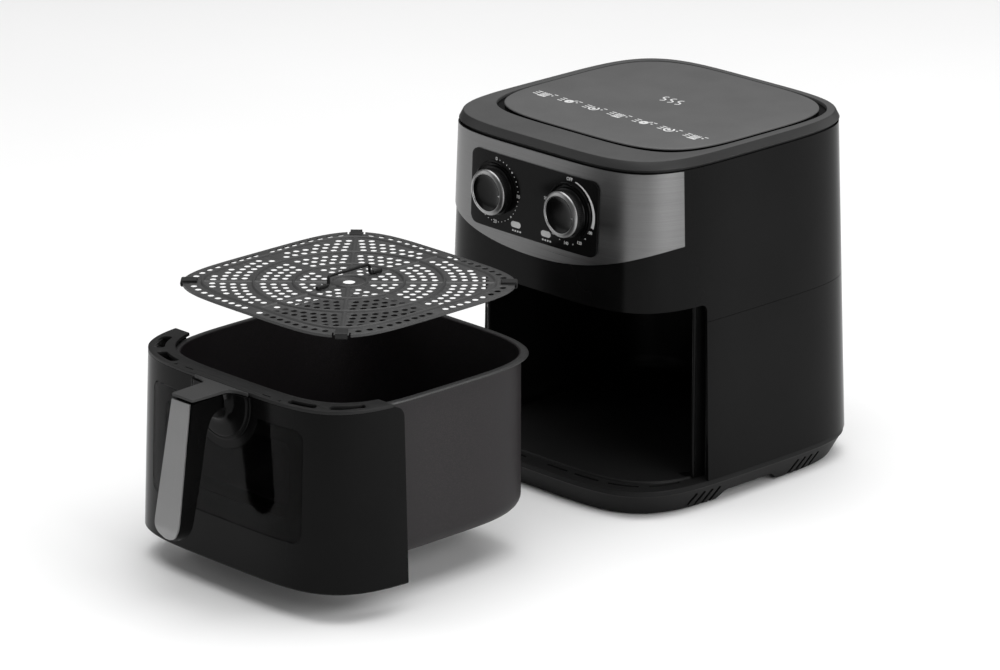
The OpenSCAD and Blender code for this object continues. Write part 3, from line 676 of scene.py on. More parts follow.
def pocket_cutter(side, number):
    start = radians(POCKET_START + POCKET_PITCH * number)
    turns = [-pi / 2 + side * t for t in spread(start, start + radians(POCKET_TURN), 8)]
    a, b = half_w(SILL_Z), half_d(SILL_Z)
    outer, inner = [[outline_point(a - inset, b - inset, BODY_N, t) for t in turns]
                    for inset in POCKET_INSETS]
    return prism(outer + inner[::-1], SILL_Z - 1.5, SILL_Z + 2, "z")


def arch_cutter():
    rise = [0.4 + 8.2 * (1 - cos(pi * i / 8)) / 2 for i in range(9)]
    arch = [(-50, -5), (33, -5)] + list(zip(spread(33, 19, 8), rise))
    arch += list(zip(spread(-34, -50, 8), rise[::-1]))
    return prism(arch, -WIDE, WIDE, "x")


def build_base():
    rings = [sill_ring(grow, z) for grow, z in SKIRT_PROFILE]
    rings += [pan_ring(half, z) for half, z in BAY_LIP]
    base = make("base_body", solid(rings), HOUSING)
    slits = [slit_cutter(start + SLIT_PITCH * i, side) for start in SLIT_STARTS
             for i in range(SLIT_COUNT) for side in (-1, 1)]
    pockets = [pocket_cutter(side, i) for side in (-1, 1) for i in range(POCKET_COUNT)]
    cut(base, [arch_cutter(), join(slits), join(pockets)], HOUSING)
    # The base is black satin made darker still by painted shade
    piece(base, "housing", "skirt_black_painted_shade", ["base"], bevel=0.3)
    feet = bmesh.new()
    for x in (-FOOT_X, FOOT_X):
        for y in (-FOOT_Y, FOOT_Y):
            loft(feet, [level(circle(x, y, r, 40), z) for r, z in FOOT_PROFILE])
    piece(make("rubber_foot_set", feet, HOUSING), "housing", "foot_rubber", ["rubber_feet"])


def shell_rings(low, high):
    """Rings up the outside of the body's wall and down its inside."""
    heights = spread(low, high, 10)
    return [body_ring(0, z) for z in heights] + [body_ring(-WALL, z) for z in reversed(heights)]


def jamb(z0, z1, bm):
    """The strips that close the space between the outer wall and the liner beside the opening."""
    for side in (-1, 1):
        grids = []
        for y in JAMB_FACES:
            grid = []
            for z in spread(z0, z1, 12):
                reach = (1 - (JAMB_WALL_Y / half_d(z)) ** BODY_N) ** (1 / BODY_N)
                wall_x = (half_w(z) - WALL + 0.3) * reach
                grid.append([Vector((side * x, y, z)) for x in (JAMB_INNER_X, wall_x)])
            grids.append(grid)
        grid_solid(*grids, bm)
    return bm


def build_shells():
    seam = SEAM_Z - SEAM_GAP
    lower = make("lower_shell", solid(shell_rings(SILL_Z, seam), loop=True), HOUSING)
    cut(lower, [front_cutter(JAMB_Y)], HOUSING)
    side = make("lower_jamb", jamb(SILL_Z, seam, bmesh.new()), HOUSING)
    cut(side, [lathe_y([(2.3, -63), (2.3, -52)], *PLUNGER)], HOUSING)
    piece(side, "housing", "black_satin", bevel=0.3)
    piece(lower, "housing", "black_gloss", ["lower_housing"], bevel=0.35)

    upper = make("upper_shell", solid(shell_rings(SEAM_Z, WALL_TOP), loop=True), HOUSING)
    corner = arc(JAMB_Y - 6, LINTEL_Z - 6, 6, 0, 90, 8)
    bay = [(-FAR, -20), (JAMB_Y, -20)] + corner + [(-FAR, LINTEL_Z)]
    cut(upper, [prism(bay, -WIDE, WIDE, "x")], HOUSING)
    piece(upper, "housing", "black_gloss", ["upper_housing"], bevel=0.35)
    low, high = LINTEL_Z + 0.1, LINTEL_Z + 2.5
    deck = solid([body_ring(-2.3, high), body_ring(-2.3, low), pan_ring(121, low),
                  pan_ring(121, high)], loop=True)
    deck = jamb(SEAM_Z, LINTEL_Z, deck)
    piece(make("upper_deck", deck, HOUSING), "housing", "black_satin", bevel=0.3)


def build_liner():
    rings = [pan_ring(half, z) for half, z in LINER_PROFILE]
    liner = make("liner_wall", solid(rings, loop=True), HOUSING)
    cut(liner, [front_cutter(LINER_Y)], HOUSING)
    piece(liner, "housing", "liner_metal", ["cavity_liner"])
    bead = bmesh.new()
    for side in (-1, 1):
        x, y = side * 126.2, LINER_Y - 0.4
        tube(bead, [(x, y, z) for z in (SILL_Z + 1.8, 60, 120, LINTEL_Z - 0.6)], 1.6)
    piece(make("liner_bead", bead, HOUSING), "housing", "black_gloss")


# ---- top cover and lid

LID_HALF_W, LID_HALF_D, LID_Y = 119.0, 111.0, 15.0
LID_N = 4.0
SLOPE_PROFILE = (
    (-4.9, 4), (-4.9, 0.05), (-2.4, 0.05), (-2.4, 2.2), (0.0, 2.4), (0.4, 3.0), (-2.3, 9.3),
    (-2.7, 9.7), (-7.5, 9.6), (-7.5, 4))
COVER_EDGE = ((-8, 7), (-2.9, 9.55), (-3.1, 9.85), (-3.8, 10), (-5.5, 10))
COVER_HOLE = ((4.2, 10), (3.6, 9.8), (3.3, 9.2), (3.3, 7))
LID_PROFILE = (
    (-3, 9.2), (-0.4, 9.3), (0, 9.6), (0, 10.1), (-0.2, 10.5), (-0.7, 10.8), (-1.5, 11),
    (-60, 11))
RECESS_OUTER = ((3.2, 7.1), (3.2, 6.9))
RECESS_INNER = ((-60, 6.9), (-60, 9.2), (-1.2, 9.2), (-1.4, 7.3))


def lid_rings(profile, n=LID_N):
    """Rings around the lid, as growth and height over the wall's top."""
    return [ring(LID_HALF_W + grow, LID_HALF_D + grow, n, WALL_TOP + rise, LID_Y)
            for grow, rise in profile]


def cover_rings(profile):
    a, b = half_w(WALL_TOP), half_d(WALL_TOP)
    return [ring(a + grow, b + grow, BODY_N, WALL_TOP + rise) for grow, rise in profile]


def build_cover():
    # The sloped edge has the darker copy of the charcoal satin, as painted shade
    slope = make("cover_slope", solid(cover_rings(SLOPE_PROFILE), loop=True), HOUSING)
    piece(slope, "housing", "charcoal_painted_shade")
    strip = cover_rings(COVER_EDGE) + lid_rings(COVER_HOLE, BODY_N)
    shell = make("cover_shell", solid(strip), HOUSING)
    piece(shell, "housing", "charcoal_rim", ["top_cover"])
    lid = make("lid_plate", solid(lid_rings(LID_PROFILE)), HOUSING)
    piece(lid, "housing", "charcoal_satin", ["lid_panel"])
    # The recess under the gap round the lid is gloss black: a painted shadow in the gap
    floor = lid_rings(RECESS_OUTER, BODY_N) + lid_rings(RECESS_INNER)
    recess = make("lid_recess_painted_shadow", solid(floor, loop=True), HOUSING)
    piece(recess, "housing", "black_gloss")


# ---- front: band, panel, marks

BAND_EDGE_Y = -90.0
BAND_LOW, BAND_RADIUS = 213, 340
BAND_COLUMNS, BAND_ROWS = 120, 14
PANEL = (-77, 77, 227.4, 294.2, 8)
PANEL_OUT = 2.4
SEAT_PROFILE = (
    (3, 0.6), (26.4, 0.6), (26.2, -0.1), (25.6, -0.5), (24.8, -0.5), (24.2, -0.1), (23.2, 0.1),
    (22.6, -0.3), (3, -0.3))
LAMP_X, LAMP_Z = 18.4, 237
LAMP_HALF_W, LAMP_HALF_H = 5.7, 2.6
MARK_R = 27.8
MINUTES = 30
LABEL_Z = 231.4


def band_point(share, z, out):
    """A point on the front of the body: share is 0 at the band's left end, 1 at its right."""
    a, b = half_w(z) + out, half_d(z) + out
    x, y = outline_point(a, b, BODY_N, front_angle(a, b, BODY_N, BAND_EDGE_Y, share))
    return Vector((x, y, z))


def build_band():
    """The steel band, whose lower edge is an arc that is lowest in the middle."""
    grids = []
    for out in (0.9, 0.1):
        columns = []
        for i in range(BAND_COLUMNS + 1):
            x = band_point(i / BAND_COLUMNS, 225, out).x
            start = BAND_LOW + BAND_RADIUS - sqrt(BAND_RADIUS ** 2 - x ** 2)
            columns.append([band_point(i / BAND_COLUMNS, z, out)
                            for z in spread(start, WALL_TOP - 0.3, BAND_ROWS)])
        grids.append([list(row) for row in zip(*columns)])
    band = make("front_band", grid_solid(*grids), HOUSING)
    piece(band, "housing", "brushed_band", ["steel_band"], bevel=0.25)


def build_panel():
    panel = make("panel_plate", front_plate(rounded_columns(*PANEL), PANEL_OUT, 0.9), HOUSING)
    piece(panel, "housing", "panel_gloss", ["control_panel"], bevel=0.5)
    y = front_y(KNOB_X, KNOB_Z, PANEL_OUT)
    for side, dial, lens in ((-1, "timer", "power_lens"), (1, "temperature", "heat_lens")):
        seat = lathe_y([(r, y + rise) for r, rise in SEAT_PROFILE], side * KNOB_X, KNOB_Z)
        piece(make(dial + "_dial_seat", seat, HOUSING), "housing", "panel_gloss")
        x = side * LAMP_X
        columns = rounded_columns(x - LAMP_HALF_W, x + LAMP_HALF_W, LAMP_Z - LAMP_HALF_H,
                                  LAMP_Z + LAMP_HALF_H, 2.5, 4)
        lamp = make(lens + "_cap", front_plate(columns, 2.9, 1.0), HOUSING)
        piece(lamp, "housing", "lens_white", [lens], bevel=0.4)


def add_dot(bm, x, y, r):
    bm.faces.new([bm.verts.new((px, py, 0)) for px, py in circle(x, y, r, 12)])


def add_bar(bm, x0, y0, x1, y1, width):
    along = Vector((x1 - x0, y1 - y0, 0)).normalized() * width / 2
    side = Vector((-along.y, along.x, 0))
    a, b = Vector((x0, y0, 0)), Vector((x1, y1, 0))
    bm.faces.new([bm.verts.new(p) for p in (a - side, b - side, b + side, a + side)])


def add_arc(bm, x, y, r, a0, a1, w0, w1, steps=24):
    """A flat arc, clockwise from 12 o'clock in degrees, whose width goes from w0 to w1."""
    rows = []
    for angle, width in zip(spread(a0, a1, steps), spread(w0, w1, steps)):
        t, w = radians(90 - angle), width / 2
        rows.append([bm.verts.new((x + q * cos(t), y + q * sin(t), 0)) for q in (r - w, r + w)])
    for (a, b), (c, d) in zip(rows, rows[1:]):
        bm.faces.new((a, b, d, c))


def add_text(bm, text, size, x, y):
    curve = bpy.data.curves.new("letters", "FONT")
    curve.body = text
    curve.size = size
    curve.align_x = "CENTER"
    curve.align_y = "CENTER"
    curve.offset = 0.02 * size
    letters = filled(curve)
    letters.transform(Matrix.Translation((x, y, 0)))
    return join([bm, letters])


def thicken(bm, height):
    result = bmesh.ops.extrude_face_region(bm, geom=bm.faces[:])
    for vert in [g for g in result["geom"] if isinstance(g, bmesh.types.BMVert)]:
        vert.co.z += height


def on_dial(side, turn):
    """A place on a dial's ring of marks, clockwise from 12 o'clock in degrees."""
    angle = radians(90 - turn)
    return side * KNOB_X + MARK_R * cos(angle), KNOB_Z + MARK_R * sin(angle)


def build_marks():
    """The dials' numbers, dots and arc, and four small bars under each lamp."""
    bm = bmesh.new()
    for minute in range(1, MINUTES):
        if minute % 10:
            add_dot(bm, *on_dial(-1, 9 * minute), 0.85 if minute % 5 == 0 else 0.5)
    add_arc(bm, KNOB_X, KNOB_Z, MARK_R + 0.8, 14, 108, 0.9, 3.0, 40)
    for step in range(5):
        add_dot(bm, *on_dial(1, 134 + 33 * step), 0.55)
    for side in (-1, 1):
        for bar in range(4):
            x = side * LAMP_X + 3 * bar
            add_bar(bm, x - 4.5, LABEL_Z, x - 2.7, LABEL_Z, 1.5)
    for number in range(4):
        bm = add_text(bm, str(10 * number), 4.4, *on_dial(-1, 90 * number))
    bm = add_text(bm, "OFF", 4.0, KNOB_X, KNOB_Z + 29)
    for number in range(6):
        bm = add_text(bm, str(100 + 20 * number), 3.7, *on_dial(1, 118 + 33 * number))
    thicken(bm, 0.1)
    for vert in bm.verts:
        x, z, lift = vert.co
        vert.co = (x, front_y(x, z, PANEL_OUT + 0.02 + lift), z)
    piece(make("dial_marks", bm, HOUSING), "housing", "lens_white")


def add_icon(bm, kind, x, y):
    """A small generic food sign, with lines of time and heat beside it."""
    if kind == "sticks":
        for i in range(4):
            add_bar(bm, x - 3 + 2.2 * i, y - 4, x - 3.6 + 2.5 * i, y + 5, 1.2)
        add_bar(bm, x - 4.4, y - 4.6, x + 5, y - 4.6, 2.4)
    elif kind == "leg":
        add_arc(bm, x, y, 2.6, 0, 360, 3.4, 3.4, 20)
        add_bar(bm, x + 2.4, y + 3.2, x + 5, y + 6.4, 1.6)
    else:
        add_arc(bm, x, y, 4.4, 20, 330, 1.8, 1.8, 20)
        add_dot(bm, x, y, 1.9)
    for line in (-3, 0.6, 4.2):
        add_bar(bm, x - 11.5, y + line, x - 6.2, y + line, 1.3)
    add_bar(bm, x + 7, y + 5.6, x + 11, y + 5.6, 1.3)
    add_dot(bm, x + 8, y + 1.5, 1.1)


def build_lid_signs():
    """Seven food signs in a row, and three waves of steam behind them."""
    bm = bmesh.new()
    for number in range(7):
        add_icon(bm, ("sticks", "leg", "ring")[number % 3], -91 + 30.4 * number, -38)
    for wave in range(3):
        for half in range(2):
            x, y, turn = -9 + 9 * wave, 25 + 6 * half, 180 * half
            add_arc(bm, x, y, 3, turn, turn + 180, 1.5, 1.5, 12)
    thicken(bm, 0.12)
    sign = make("lid_signs", bm, HOUSING + Vector((0, 0, (WALL_TOP + 11.01) * MM)))
    piece(sign, "housing", "lens_white")


# ---- knobs

# Radius, distance behind the knob's front and depth of the finger ridges
KNOB_PROFILE = (
    (0.2, 2.9), (6, 2.7), (11, 2.1), (14.4, 1.3), (15.6, 0.7), (16.1, 0.8), (16.1, 3.4),
    (18.6, 3.3), (18.6, 4.0, 0.6), (19.4, 8.2, 0.6), (20.0, 8.6), (21.4, 9.4), (21.6, 10.2),
    (19, 10.5), (3, 10.5))
RIM_PROFILE = (
    (16.1, 3.3), (16.1, 0.7), (16.4, 0.2), (16.8, 0), (17.3, 0.1), (19.0, 0.9), (20.0, 1.7),
    (20.3, 2.3), (20.2, 2.8), (19.8, 3.3), (17.6, 3.6))
KNOB_STEPS = 288
KNOB_RIDGES = 72


def build_knob(side, body, name):
    """A knob with a ridged skirt and a steel rim, whose pointer is towards +X at rest."""
    x = side * KNOB_X
    profile = [(r, KNOB_FRONT + back, *ridge) for r, back, *ridge in KNOB_PROFILE]
    knob = make(name + "_knob_body", lathe_y(profile, x, KNOB_Z, KNOB_STEPS, KNOB_RIDGES), HOUSING)
    piece(knob, body, "knob_black", [name + "_knob"])
    rim = lathe_y([(r, KNOB_FRONT + back) for r, back in RIM_PROFILE], x, KNOB_Z, loop=True)
    tab = [(x + 17.0, KNOB_Z - 1.2), (x + 17.0, KNOB_Z + 1.2), (x + 14.2, KNOB_Z)]
    pointer = prism(tab, KNOB_FRONT + 0.2, KNOB_FRONT + 1.4, "y")
    rim = make(name + "_knob_rim", join([rim, pointer]), HOUSING)
    piece(rim, body, "chrome_ring", [name + "_knob_ring"])


# ---- drawer

WING_Y = -66.7
WING_CORNER = 10
FRONT_LOW = 26
FRONT_TOP = 179
FRAME_TOP = 182
FRAME_END_Y = -77.5
BOSS_Z = 171
PANE_NOTCH = 44
PANE_GAP = 0.35
WINDOW = (-92, 66, 92, 162)
CLEAR = (-77, 84, 77, 148)
SLOT_TURNS = ((28.6, 36.4), (42, 50.8))
SLOT_INSETS = (4.2, 11.6)
PAN_HALF = 119
PAN_WALL_TOP = 170
PAN_SLOT = (-66.2, 85.8, 66.2, 146.2)
RIM_STEPS = (
    (119, 174.2), (119.3, 174.8), (120.2, 175.0), (122.8, 175.0), (123.7, 175.15),
    (124, 175.6), (123.9, 176.1), (123.2, 176.5), (121.6, 176.9), (118.9, 177),
    (118.1, 176.8), (117.6, 176.1))
RIM_BEAD = (
    (118.5, 176.5), (118.9, 177.1), (120.8, 177.2), (122.4, 176.95), (123.6, 176.5),
    (124.2, 176.0), (124.3, 175.5), (123.7, 175.2), (121, 176.2))


def behind_wings():
    """Everything behind the wings of the front, whose upper corner is rounded."""
    corner = arc(WING_Y - WING_CORNER, FRONT_TOP - WING_CORNER, WING_CORNER, 0, 90, 10)
    outline = [(WING_Y, -10)] + corner + [(WING_Y - WING_CORNER, 400), (FAR, 400), (FAR, -10)]
    return prism(outline, -FAR, FAR, "x")


def build_drawer_front():
    rings = [body_ring(-0.7, FRONT_LOW)] + shell_rings(FRONT_LOW + 1, FRONT_TOP)
    rings.append(body_ring(-WALL, FRONT_LOW))
    front = make("drawer_shell", solid(rings, loop=True), DRAWER)
    x0, z0, x1, z1 = WINDOW
    opening = rounded_rect(x0 - PANE_GAP, z0 - PANE_GAP, x1 + PANE_GAP, z1 + PANE_GAP, 9, 8)
    hole = make("hole", prism(opening, *FRONT_CUT, "y"), DRAWER)
    notch = PANE_NOTCH - PANE_GAP
    cut(hole, [lathe_y([(notch, -200), (notch, -50)], 0, BOSS_Z)], DRAWER)
    cut(front, [behind_wings()], DRAWER)
    cut_with(front, hole)
    piece(front, "drawer", "black_gloss", ["drawer_front"], bevel=0.4)

    bm = front_plate(rounded_columns(x0 - 6, x1 + 6, z0 - 6, z1 + 5, 12, 30), -2.6, -4.2)
    backing = make("window_backing", bm, DRAWER)
    cut(backing, [prism(rounded_rect(*CLEAR, 7, 8), *FRONT_CUT, "y")], DRAWER)
    piece(backing, "drawer", "black_satin", bevel=0.5)
    bm = front_plate(rounded_columns(x0, x1, z0, z1, 9, 36), -0.05, -1.6)
    pane = make("window_pane", bm, DRAWER)
    cut(pane, [lathe_y([(PANE_NOTCH, -200), (PANE_NOTCH, -100)], 0, BOSS_Z)], DRAWER)
    piece(pane, "drawer", "smoked_glass", ["window_glass"], bevel=0.35)


def frame_point(inset, angle, side):
    t = -pi / 2 + side * radians(angle)
    return Vector(outline_point(half_w(180) - inset, half_d(180) - inset, BODY_N, t))


def frame_slot(a0, a1, side):
    """Outline of an elongated slot that follows the rim, with round ends."""
    outer, inner = [[frame_point(inset, angle, side) for angle in spread(a0, a1, 10)]
                    for inset in SLOT_INSETS]
    inner = inner[::-1]
    ends = []
    for a, b in ((outer[-1], inner[0]), (inner[-1], outer[0])):
        mid, span = (a + b) / 2, (a - b).length / 2
        out = Vector((-(a - b).y, (a - b).x)).normalized()
        if out.dot(mid - (outer[5] + inner[5]) / 2) < 0:
            out = -out
        ends.append([mid + (a - mid) * cos(t) + out * span * 0.6 * sin(t)
                     for t in (pi * k / 6 for k in range(1, 6))])
    return outer + ends[0] + inner + ends[1]


def front_stretch(a, b, n, centre_y=0.0, count=140):
    """The part of an outline in front of the frame's ends, from its left end to its right end."""
    points = []
    for i in range(count + 1):
        x, y = outline_point(a, b, n, front_angle(a, b, n, FRAME_END_Y - centre_y, i / count))
        points.append((x, y + centre_y))
    return points


def build_top_frame():
    outer = front_stretch(half_w(180.5), half_d(180.5), BODY_N)
    inner = front_stretch(121, 121, PAN_N, -PAN_BACK)
    holes = [frame_slot(a0, a1, side) for a0, a1 in SLOT_TURNS for side in (-1, 1)]
    for side in (-1, 1):
        x, y = side * 64, -137.4
        holes.append([(x - 2, y - 1.4), (x + 2, y - 1.4), (x, y + 1.8)])
        x = side * 48
        holes.append(rect(x - 5, y - 0.6, x + 5, y + 0.9))
    bm = flat_plate("rim_frame", [outer + inner[::-1]] + holes, FRONT_TOP + 0.02, FRAME_TOP)
    piece(make("rim_frame", bm, DRAWER), "drawer", "black_satin", ["drawer_top_frame"])


def pan_chain(shrink, floor, fillet):
    """Rings of the pan's wall, from its floor up: the fillet is a quarter circle."""
    half = PAN_HALF - shrink
    rings = [pan_ring(60, floor), pan_ring(half - fillet - 6, floor)]
    for i in range(9):
        t = pi / 2 * i / 8
        rings.append(pan_ring(half - fillet * (1 - sin(t)), floor + fillet * (1 - cos(t))))
    return rings + [pan_ring(half, floor + (PAN_WALL_TOP - floor) * part) for part in (0.4, 0.7, 1)]


def build_pan():
    rings = pan_chain(0, 38, 15) + [pan_ring(half, z) for half, z in RIM_STEPS]
    rings += pan_chain(1.5, 39.6, 13.6)[::-1]
    pan = make("pan_body", solid(rings), DRAWER)
    cut(pan, [prism(rounded_rect(*PAN_SLOT, 6), -170, -80, "y")], DRAWER)
    piece(pan, "drawer", "nonstick", ["pan"])
    bead = solid([pan_ring(half, z) for half, z in RIM_BEAD], loop=True)
    piece(make("pan_rim", bead, DRAWER), "drawer", "rim_coating")


# ---- handle

# Sections of the grip: front point, back point (y, z) and half width, from the tip to the root
GRIP = (
    (-200.2, 60.4, -195.4, 60.4, 4.0), (-203.4, 62.4, -192.0, 62.2, 8.8),
    (-205.2, 66.2, -189.6, 66.0, 13.0), (-205.6, 71.0, -188.6, 71.0, 15.9),
    (-204.6, 77.0, -187.2, 77.0, 17.0), (-202.4, 90.0, -184.0, 90.0, 16.5),
    (-198.9, 110.0, -178.9, 110.0, 15.8), (-195.4, 130.0, -174.2, 130.0, 15.0),
    (-192.9, 145.0, -171.4, 143.0, 14.4), (-190.6, 158.0, -168.0, 152.0, 13.8),
    (-188.6, 170.0, -164.0, 158.0, 13.2), (-187.2, 177.6, -161.0, 160.6, 13.0),
    (-184.0, 178.6, -158.6, 162.2, 13.0), (-172.0, 178.6, -154.0, 164.6, 13.0),
    (-158.0, 178.6, -149.0, 166.4, 13.0), (-144.2, 178.6, -144.2, 167.6, 13.6))
GRIP_SQUARENESS = 5
GRIP_SIDES = 48
# Rings and root of the boss: radius, and depth from the drawer front
BOSS_PROFILE = (
    (2, 3), (36.8, 3), (36.8, 0), (36.4, -0.5), (34.9, -0.7), (34.3, -0.3), (33.5, -0.4),
    (32.9, -1.5), (32.0, -1.9), (24, -2.3), (20, -3.0), (17.6, -4.2), (16.0, -6.4),
    (15.2, -9.4), (2, -9.4))
CAP_TIP_Y = -186.4
CAP_HALF = 13.9
CAP_FLARE_X, CAP_FLARE_Y = 19, 7.5
CAP_LOW = 178.7
TRIM_HALF, TRIM_TURN_Z, TRIM_LENGTH, TRIM_TAPER = 14.9, 77, 100, 3.9


def build_grip():
    sections = []
    for front_y0, front_z, back_y, back_z, width in GRIP:
        front, back = Vector((0, front_y0, front_z)), Vector((0, back_y, back_z))
        centre, reach = (front + back) / 2, (front - back) / 2
        section = []
        for i in range(GRIP_SIDES):
            x, t = outline_point(width, 1.0, GRIP_SQUARENESS, 2 * pi * (i + 0.5) / GRIP_SIDES)
            section.append(centre + reach * t + Vector((x, 0, 0)))
        sections.append(section)
    grip = make("grip_body", solid(sections), DRAWER)
    piece(grip, "drawer", "black_gloss", ["handle"], smooth=50)


def build_boss():
    """The ringed root of the grip, cut off flat under its cap and open behind the front."""
    y = -half_d(133) - 0.4
    boss = make("grip_boss", lathe_y([(r, y + out) for r, out in BOSS_PROFILE], 0, BOSS_Z), DRAWER)
    over = prism(rect(-60, 178.4, 60, 260), -WIDE, -100, "y")
    cut(boss, [over, solid([body_ring(0.1, 120), body_ring(0.1, 182)])], DRAWER)
    piece(boss, "drawer", "black_gloss", bevel=0.2)


def build_cap():
    """The flat cap over the grip, which flares out where it meets the frame."""
    y0 = -half_d(178) - 0.5
    side = []
    for turn in range(0, 91, 9):
        t = radians(turn)
        side.append((CAP_HALF + CAP_FLARE_X * (1 - sin(t)), y0 - 1.2 - CAP_FLARE_Y * (1 - cos(t))))
    side += [(13.1, CAP_TIP_Y + 2.0), (11.9, CAP_TIP_Y)]
    end = CAP_HALF + CAP_FLARE_X
    plan = [(end, y0)] + side + [(-x, y) for x, y in side[::-1]] + [(-end, y0)]
    high = [Vector((x, y, FRAME_TOP - 0.9 * (y0 - y) / (y0 - CAP_TIP_Y))) for x, y in plan]
    cap = make("grip_cap", solid([level(plan, CAP_LOW), high]), DRAWER)
    piece(cap, "drawer", "cap_black", ["handle_cap"], bevel=0.5)


def grip_front(z):
    """Depth of the grip's front face at a height, between its sections."""
    a, b = next((a, b) for a, b in zip(GRIP, GRIP[1:]) if a[1] <= z <= b[1])
    return a[0] + (b[0] - a[0]) * (z - a[1]) / (b[1] - a[1])


def trim_half(z):
    """Half width of the trim: a half circle at the tip, and a long taper above it."""
    if z < TRIM_TURN_Z:
        return sqrt(max(TRIM_HALF ** 2 - (TRIM_TURN_Z - z) ** 2, 0.6))
    return TRIM_HALF - (z - TRIM_TURN_Z) * TRIM_TAPER / TRIM_LENGTH


def build_trim():
    heights = [62.3 + 14.7 * (1 - cos(pi / 2 * i / 10)) for i in range(11)]
    heights += spread(TRIM_TURN_Z, TRIM_TURN_Z + TRIM_LENGTH, 20)[1:]
    grids = [[[Vector((trim_half(z) * u / 6, grip_front(max(z, 64)) - lift, z))
               for u in range(-6, 7)] for z in heights] for lift in (0.55, -0.9)]
    trim = make("grip_trim", grid_solid(*grids), DRAWER)
    piece(trim, "drawer", "trim_steel", ["handle_trim"], bevel=0.35)


# ---- crisper tray

TRAY_HALF = 113.5
TRAY_N = 4.65
TRAY_THICK = 1.6
CORNER_R = sqrt(2) * TRAY_HALF * 2 ** (-1 / TRAY_N)
RIB_CIRCLES = (15, 46, 79.3)
RIB_SQUARE = 100
RIB_SECTION = (
    (-0.5, -0.3), (-0.36, 0.15), (-0.2, 0.8), (0, 1), (0.2, 0.8), (0.36, 0.15), (0.5, -0.3))
CORNER_CURVE = 42
HOLE_R = 2.8
HOLE_PITCH = 8.7
HOLE_ROWS = (22.5, 30.5, 39, 54, 62.7, 71.4, 87.5, 96.1, 104.7, 113.3)
PLATE_THIN = 0.5
CLIP_HALF = 5
CLIP_GAP = 7.6
# Slit on both sides of a clip: along the edge, and inwards from it
CLIP_SLIT = (
    (-7.6, 0), (-7.6, -6), (-6.2, -6), (-6.2, 0), (6.2, 0), (6.2, -6), (7.6, -6), (7.6, 0))
CLIP_PROFILE = (
    (-12.5, 1.7), (-12.5, 2.6), (-11.6, 3.6), (0.2, 3.6), (1.3, 2.9), (1.7, 1.2), (1.5, -0.8),
    (0.6, -1.9), (-5.5, -1.9), (-6.8, -1.4), (-6.6, -1.1), (0.3, -1.1), (0.3, 1.7))
EDGE_PROFILE = (
    (-0.6, TRAY_THICK), (0, TRAY_THICK - 0.5), (0, -0.6), (-0.3, -1), (-0.9, -1), (-1.2, -0.6),
    (-1.2, TRAY_THICK - 0.6), (-1.6, TRAY_THICK - 0.2))
LUG_Y, LUG_HALF = 31.5, 4.6
SADDLE_STEPS = ((3.0, 1.5), (2.6, 2.0), (1.7, 2.6), (1.4, 3.8))
BAIL_Z, BAIL_RISE, BAIL_LEG_Y, BAIL_END_Y, BAIL_BEND, BAIL_WIRE = 3.8, 8, 23, 35, 2.2, 1.3


def tray_edge(angle, half):
    return outline_point(half, half, TRAY_N, angle)


def turned_to_corner(bm, quarter):
    """Turns a shape drawn towards +X to one of the tray's corners."""
    bm.transform(Matrix.Rotation(pi / 4 + quarter * pi / 2, 4, "Z"))
    return bm


def tray_outline():
    """Edge of the plate, with a narrow slit on both sides of each corner clip."""
    points = []
    reach = CLIP_GAP / CORNER_R * 1.02
    for quarter in range(4):
        corner = pi / 4 + quarter * pi / 2
        along = Vector((cos(corner), sin(corner)))
        across = Vector((-along.y, along.x))
        stretch = spread(corner - pi / 2 + reach, corner - reach, 34)
        points += [tray_edge(angle, TRAY_HALF) for angle in stretch]
        for u, v in CLIP_SLIT:
            edge_r = CORNER_R - u * u / (2 * CORNER_CURVE)
            points.append(tuple(along * (edge_r + v) + across * u))
    return points


def is_free(r, x, y):
    """Whether a hole at a place is clear of the ribs and of the bail's lugs."""
    near_lug = abs(x) < 7.5 and 21 < abs(y) < 38
    edge = (abs(x) ** TRAY_N + abs(y) ** TRAY_N) ** (1 / TRAY_N)
    off_circles = all(abs(r - c) > HOLE_R + 1.5 for c in RIB_CIRCLES)
    return edge < RIB_SQUARE - HOLE_R - 1.7 and off_circles and not near_lug


def tray_holes():
    """Rows of air holes in eight sectors, and a row of holes along the plate's edge."""
    holes = [circle(0, 0, 5.2, 28)]
    for r in HOLE_ROWS:
        count = int((r * pi / 4 - 9.5) / HOLE_PITCH) + 1
        for sector in range(8):
            for i in range(count):
                t = sector * pi / 4 + pi / 8 + (i - (count - 1) / 2) * HOLE_PITCH / r
                x, y = r * cos(t), r * sin(t)
                if is_free(r, x, y):
                    holes.append(circle(x, y, HOLE_R, 14))
    for quarter in range(4):
        for side in (-1, 1):
            for i in range(9):
                t = quarter * pi / 2 + side * (0.085 + 0.0745 * i)
                holes.append(circle(*tray_edge(t, TRAY_HALF - 6.6), HOLE_R, 14))
    return holes


def add_rib(bm, path, width=3.8, height=1.9, closed=False):
    """A low rounded ridge pressed up out of the plate along a path."""
    rings = []
    count = len(path)
    for i, p in enumerate(path):
        before = path[(i - 1) % count] if closed or i else path[0]
        after = path[(i + 1) % count] if closed or i < count - 1 else path[-1]
        along = (Vector(after) - Vector(before)).normalized()
        side = Vector((-along.y, along.x))
        rings.append([Vector((p[0] + side.x * u * width, p[1] + side.y * u * width, v * height))
                      for u, v in RIB_SECTION])
    loft(bm, rings, closed)


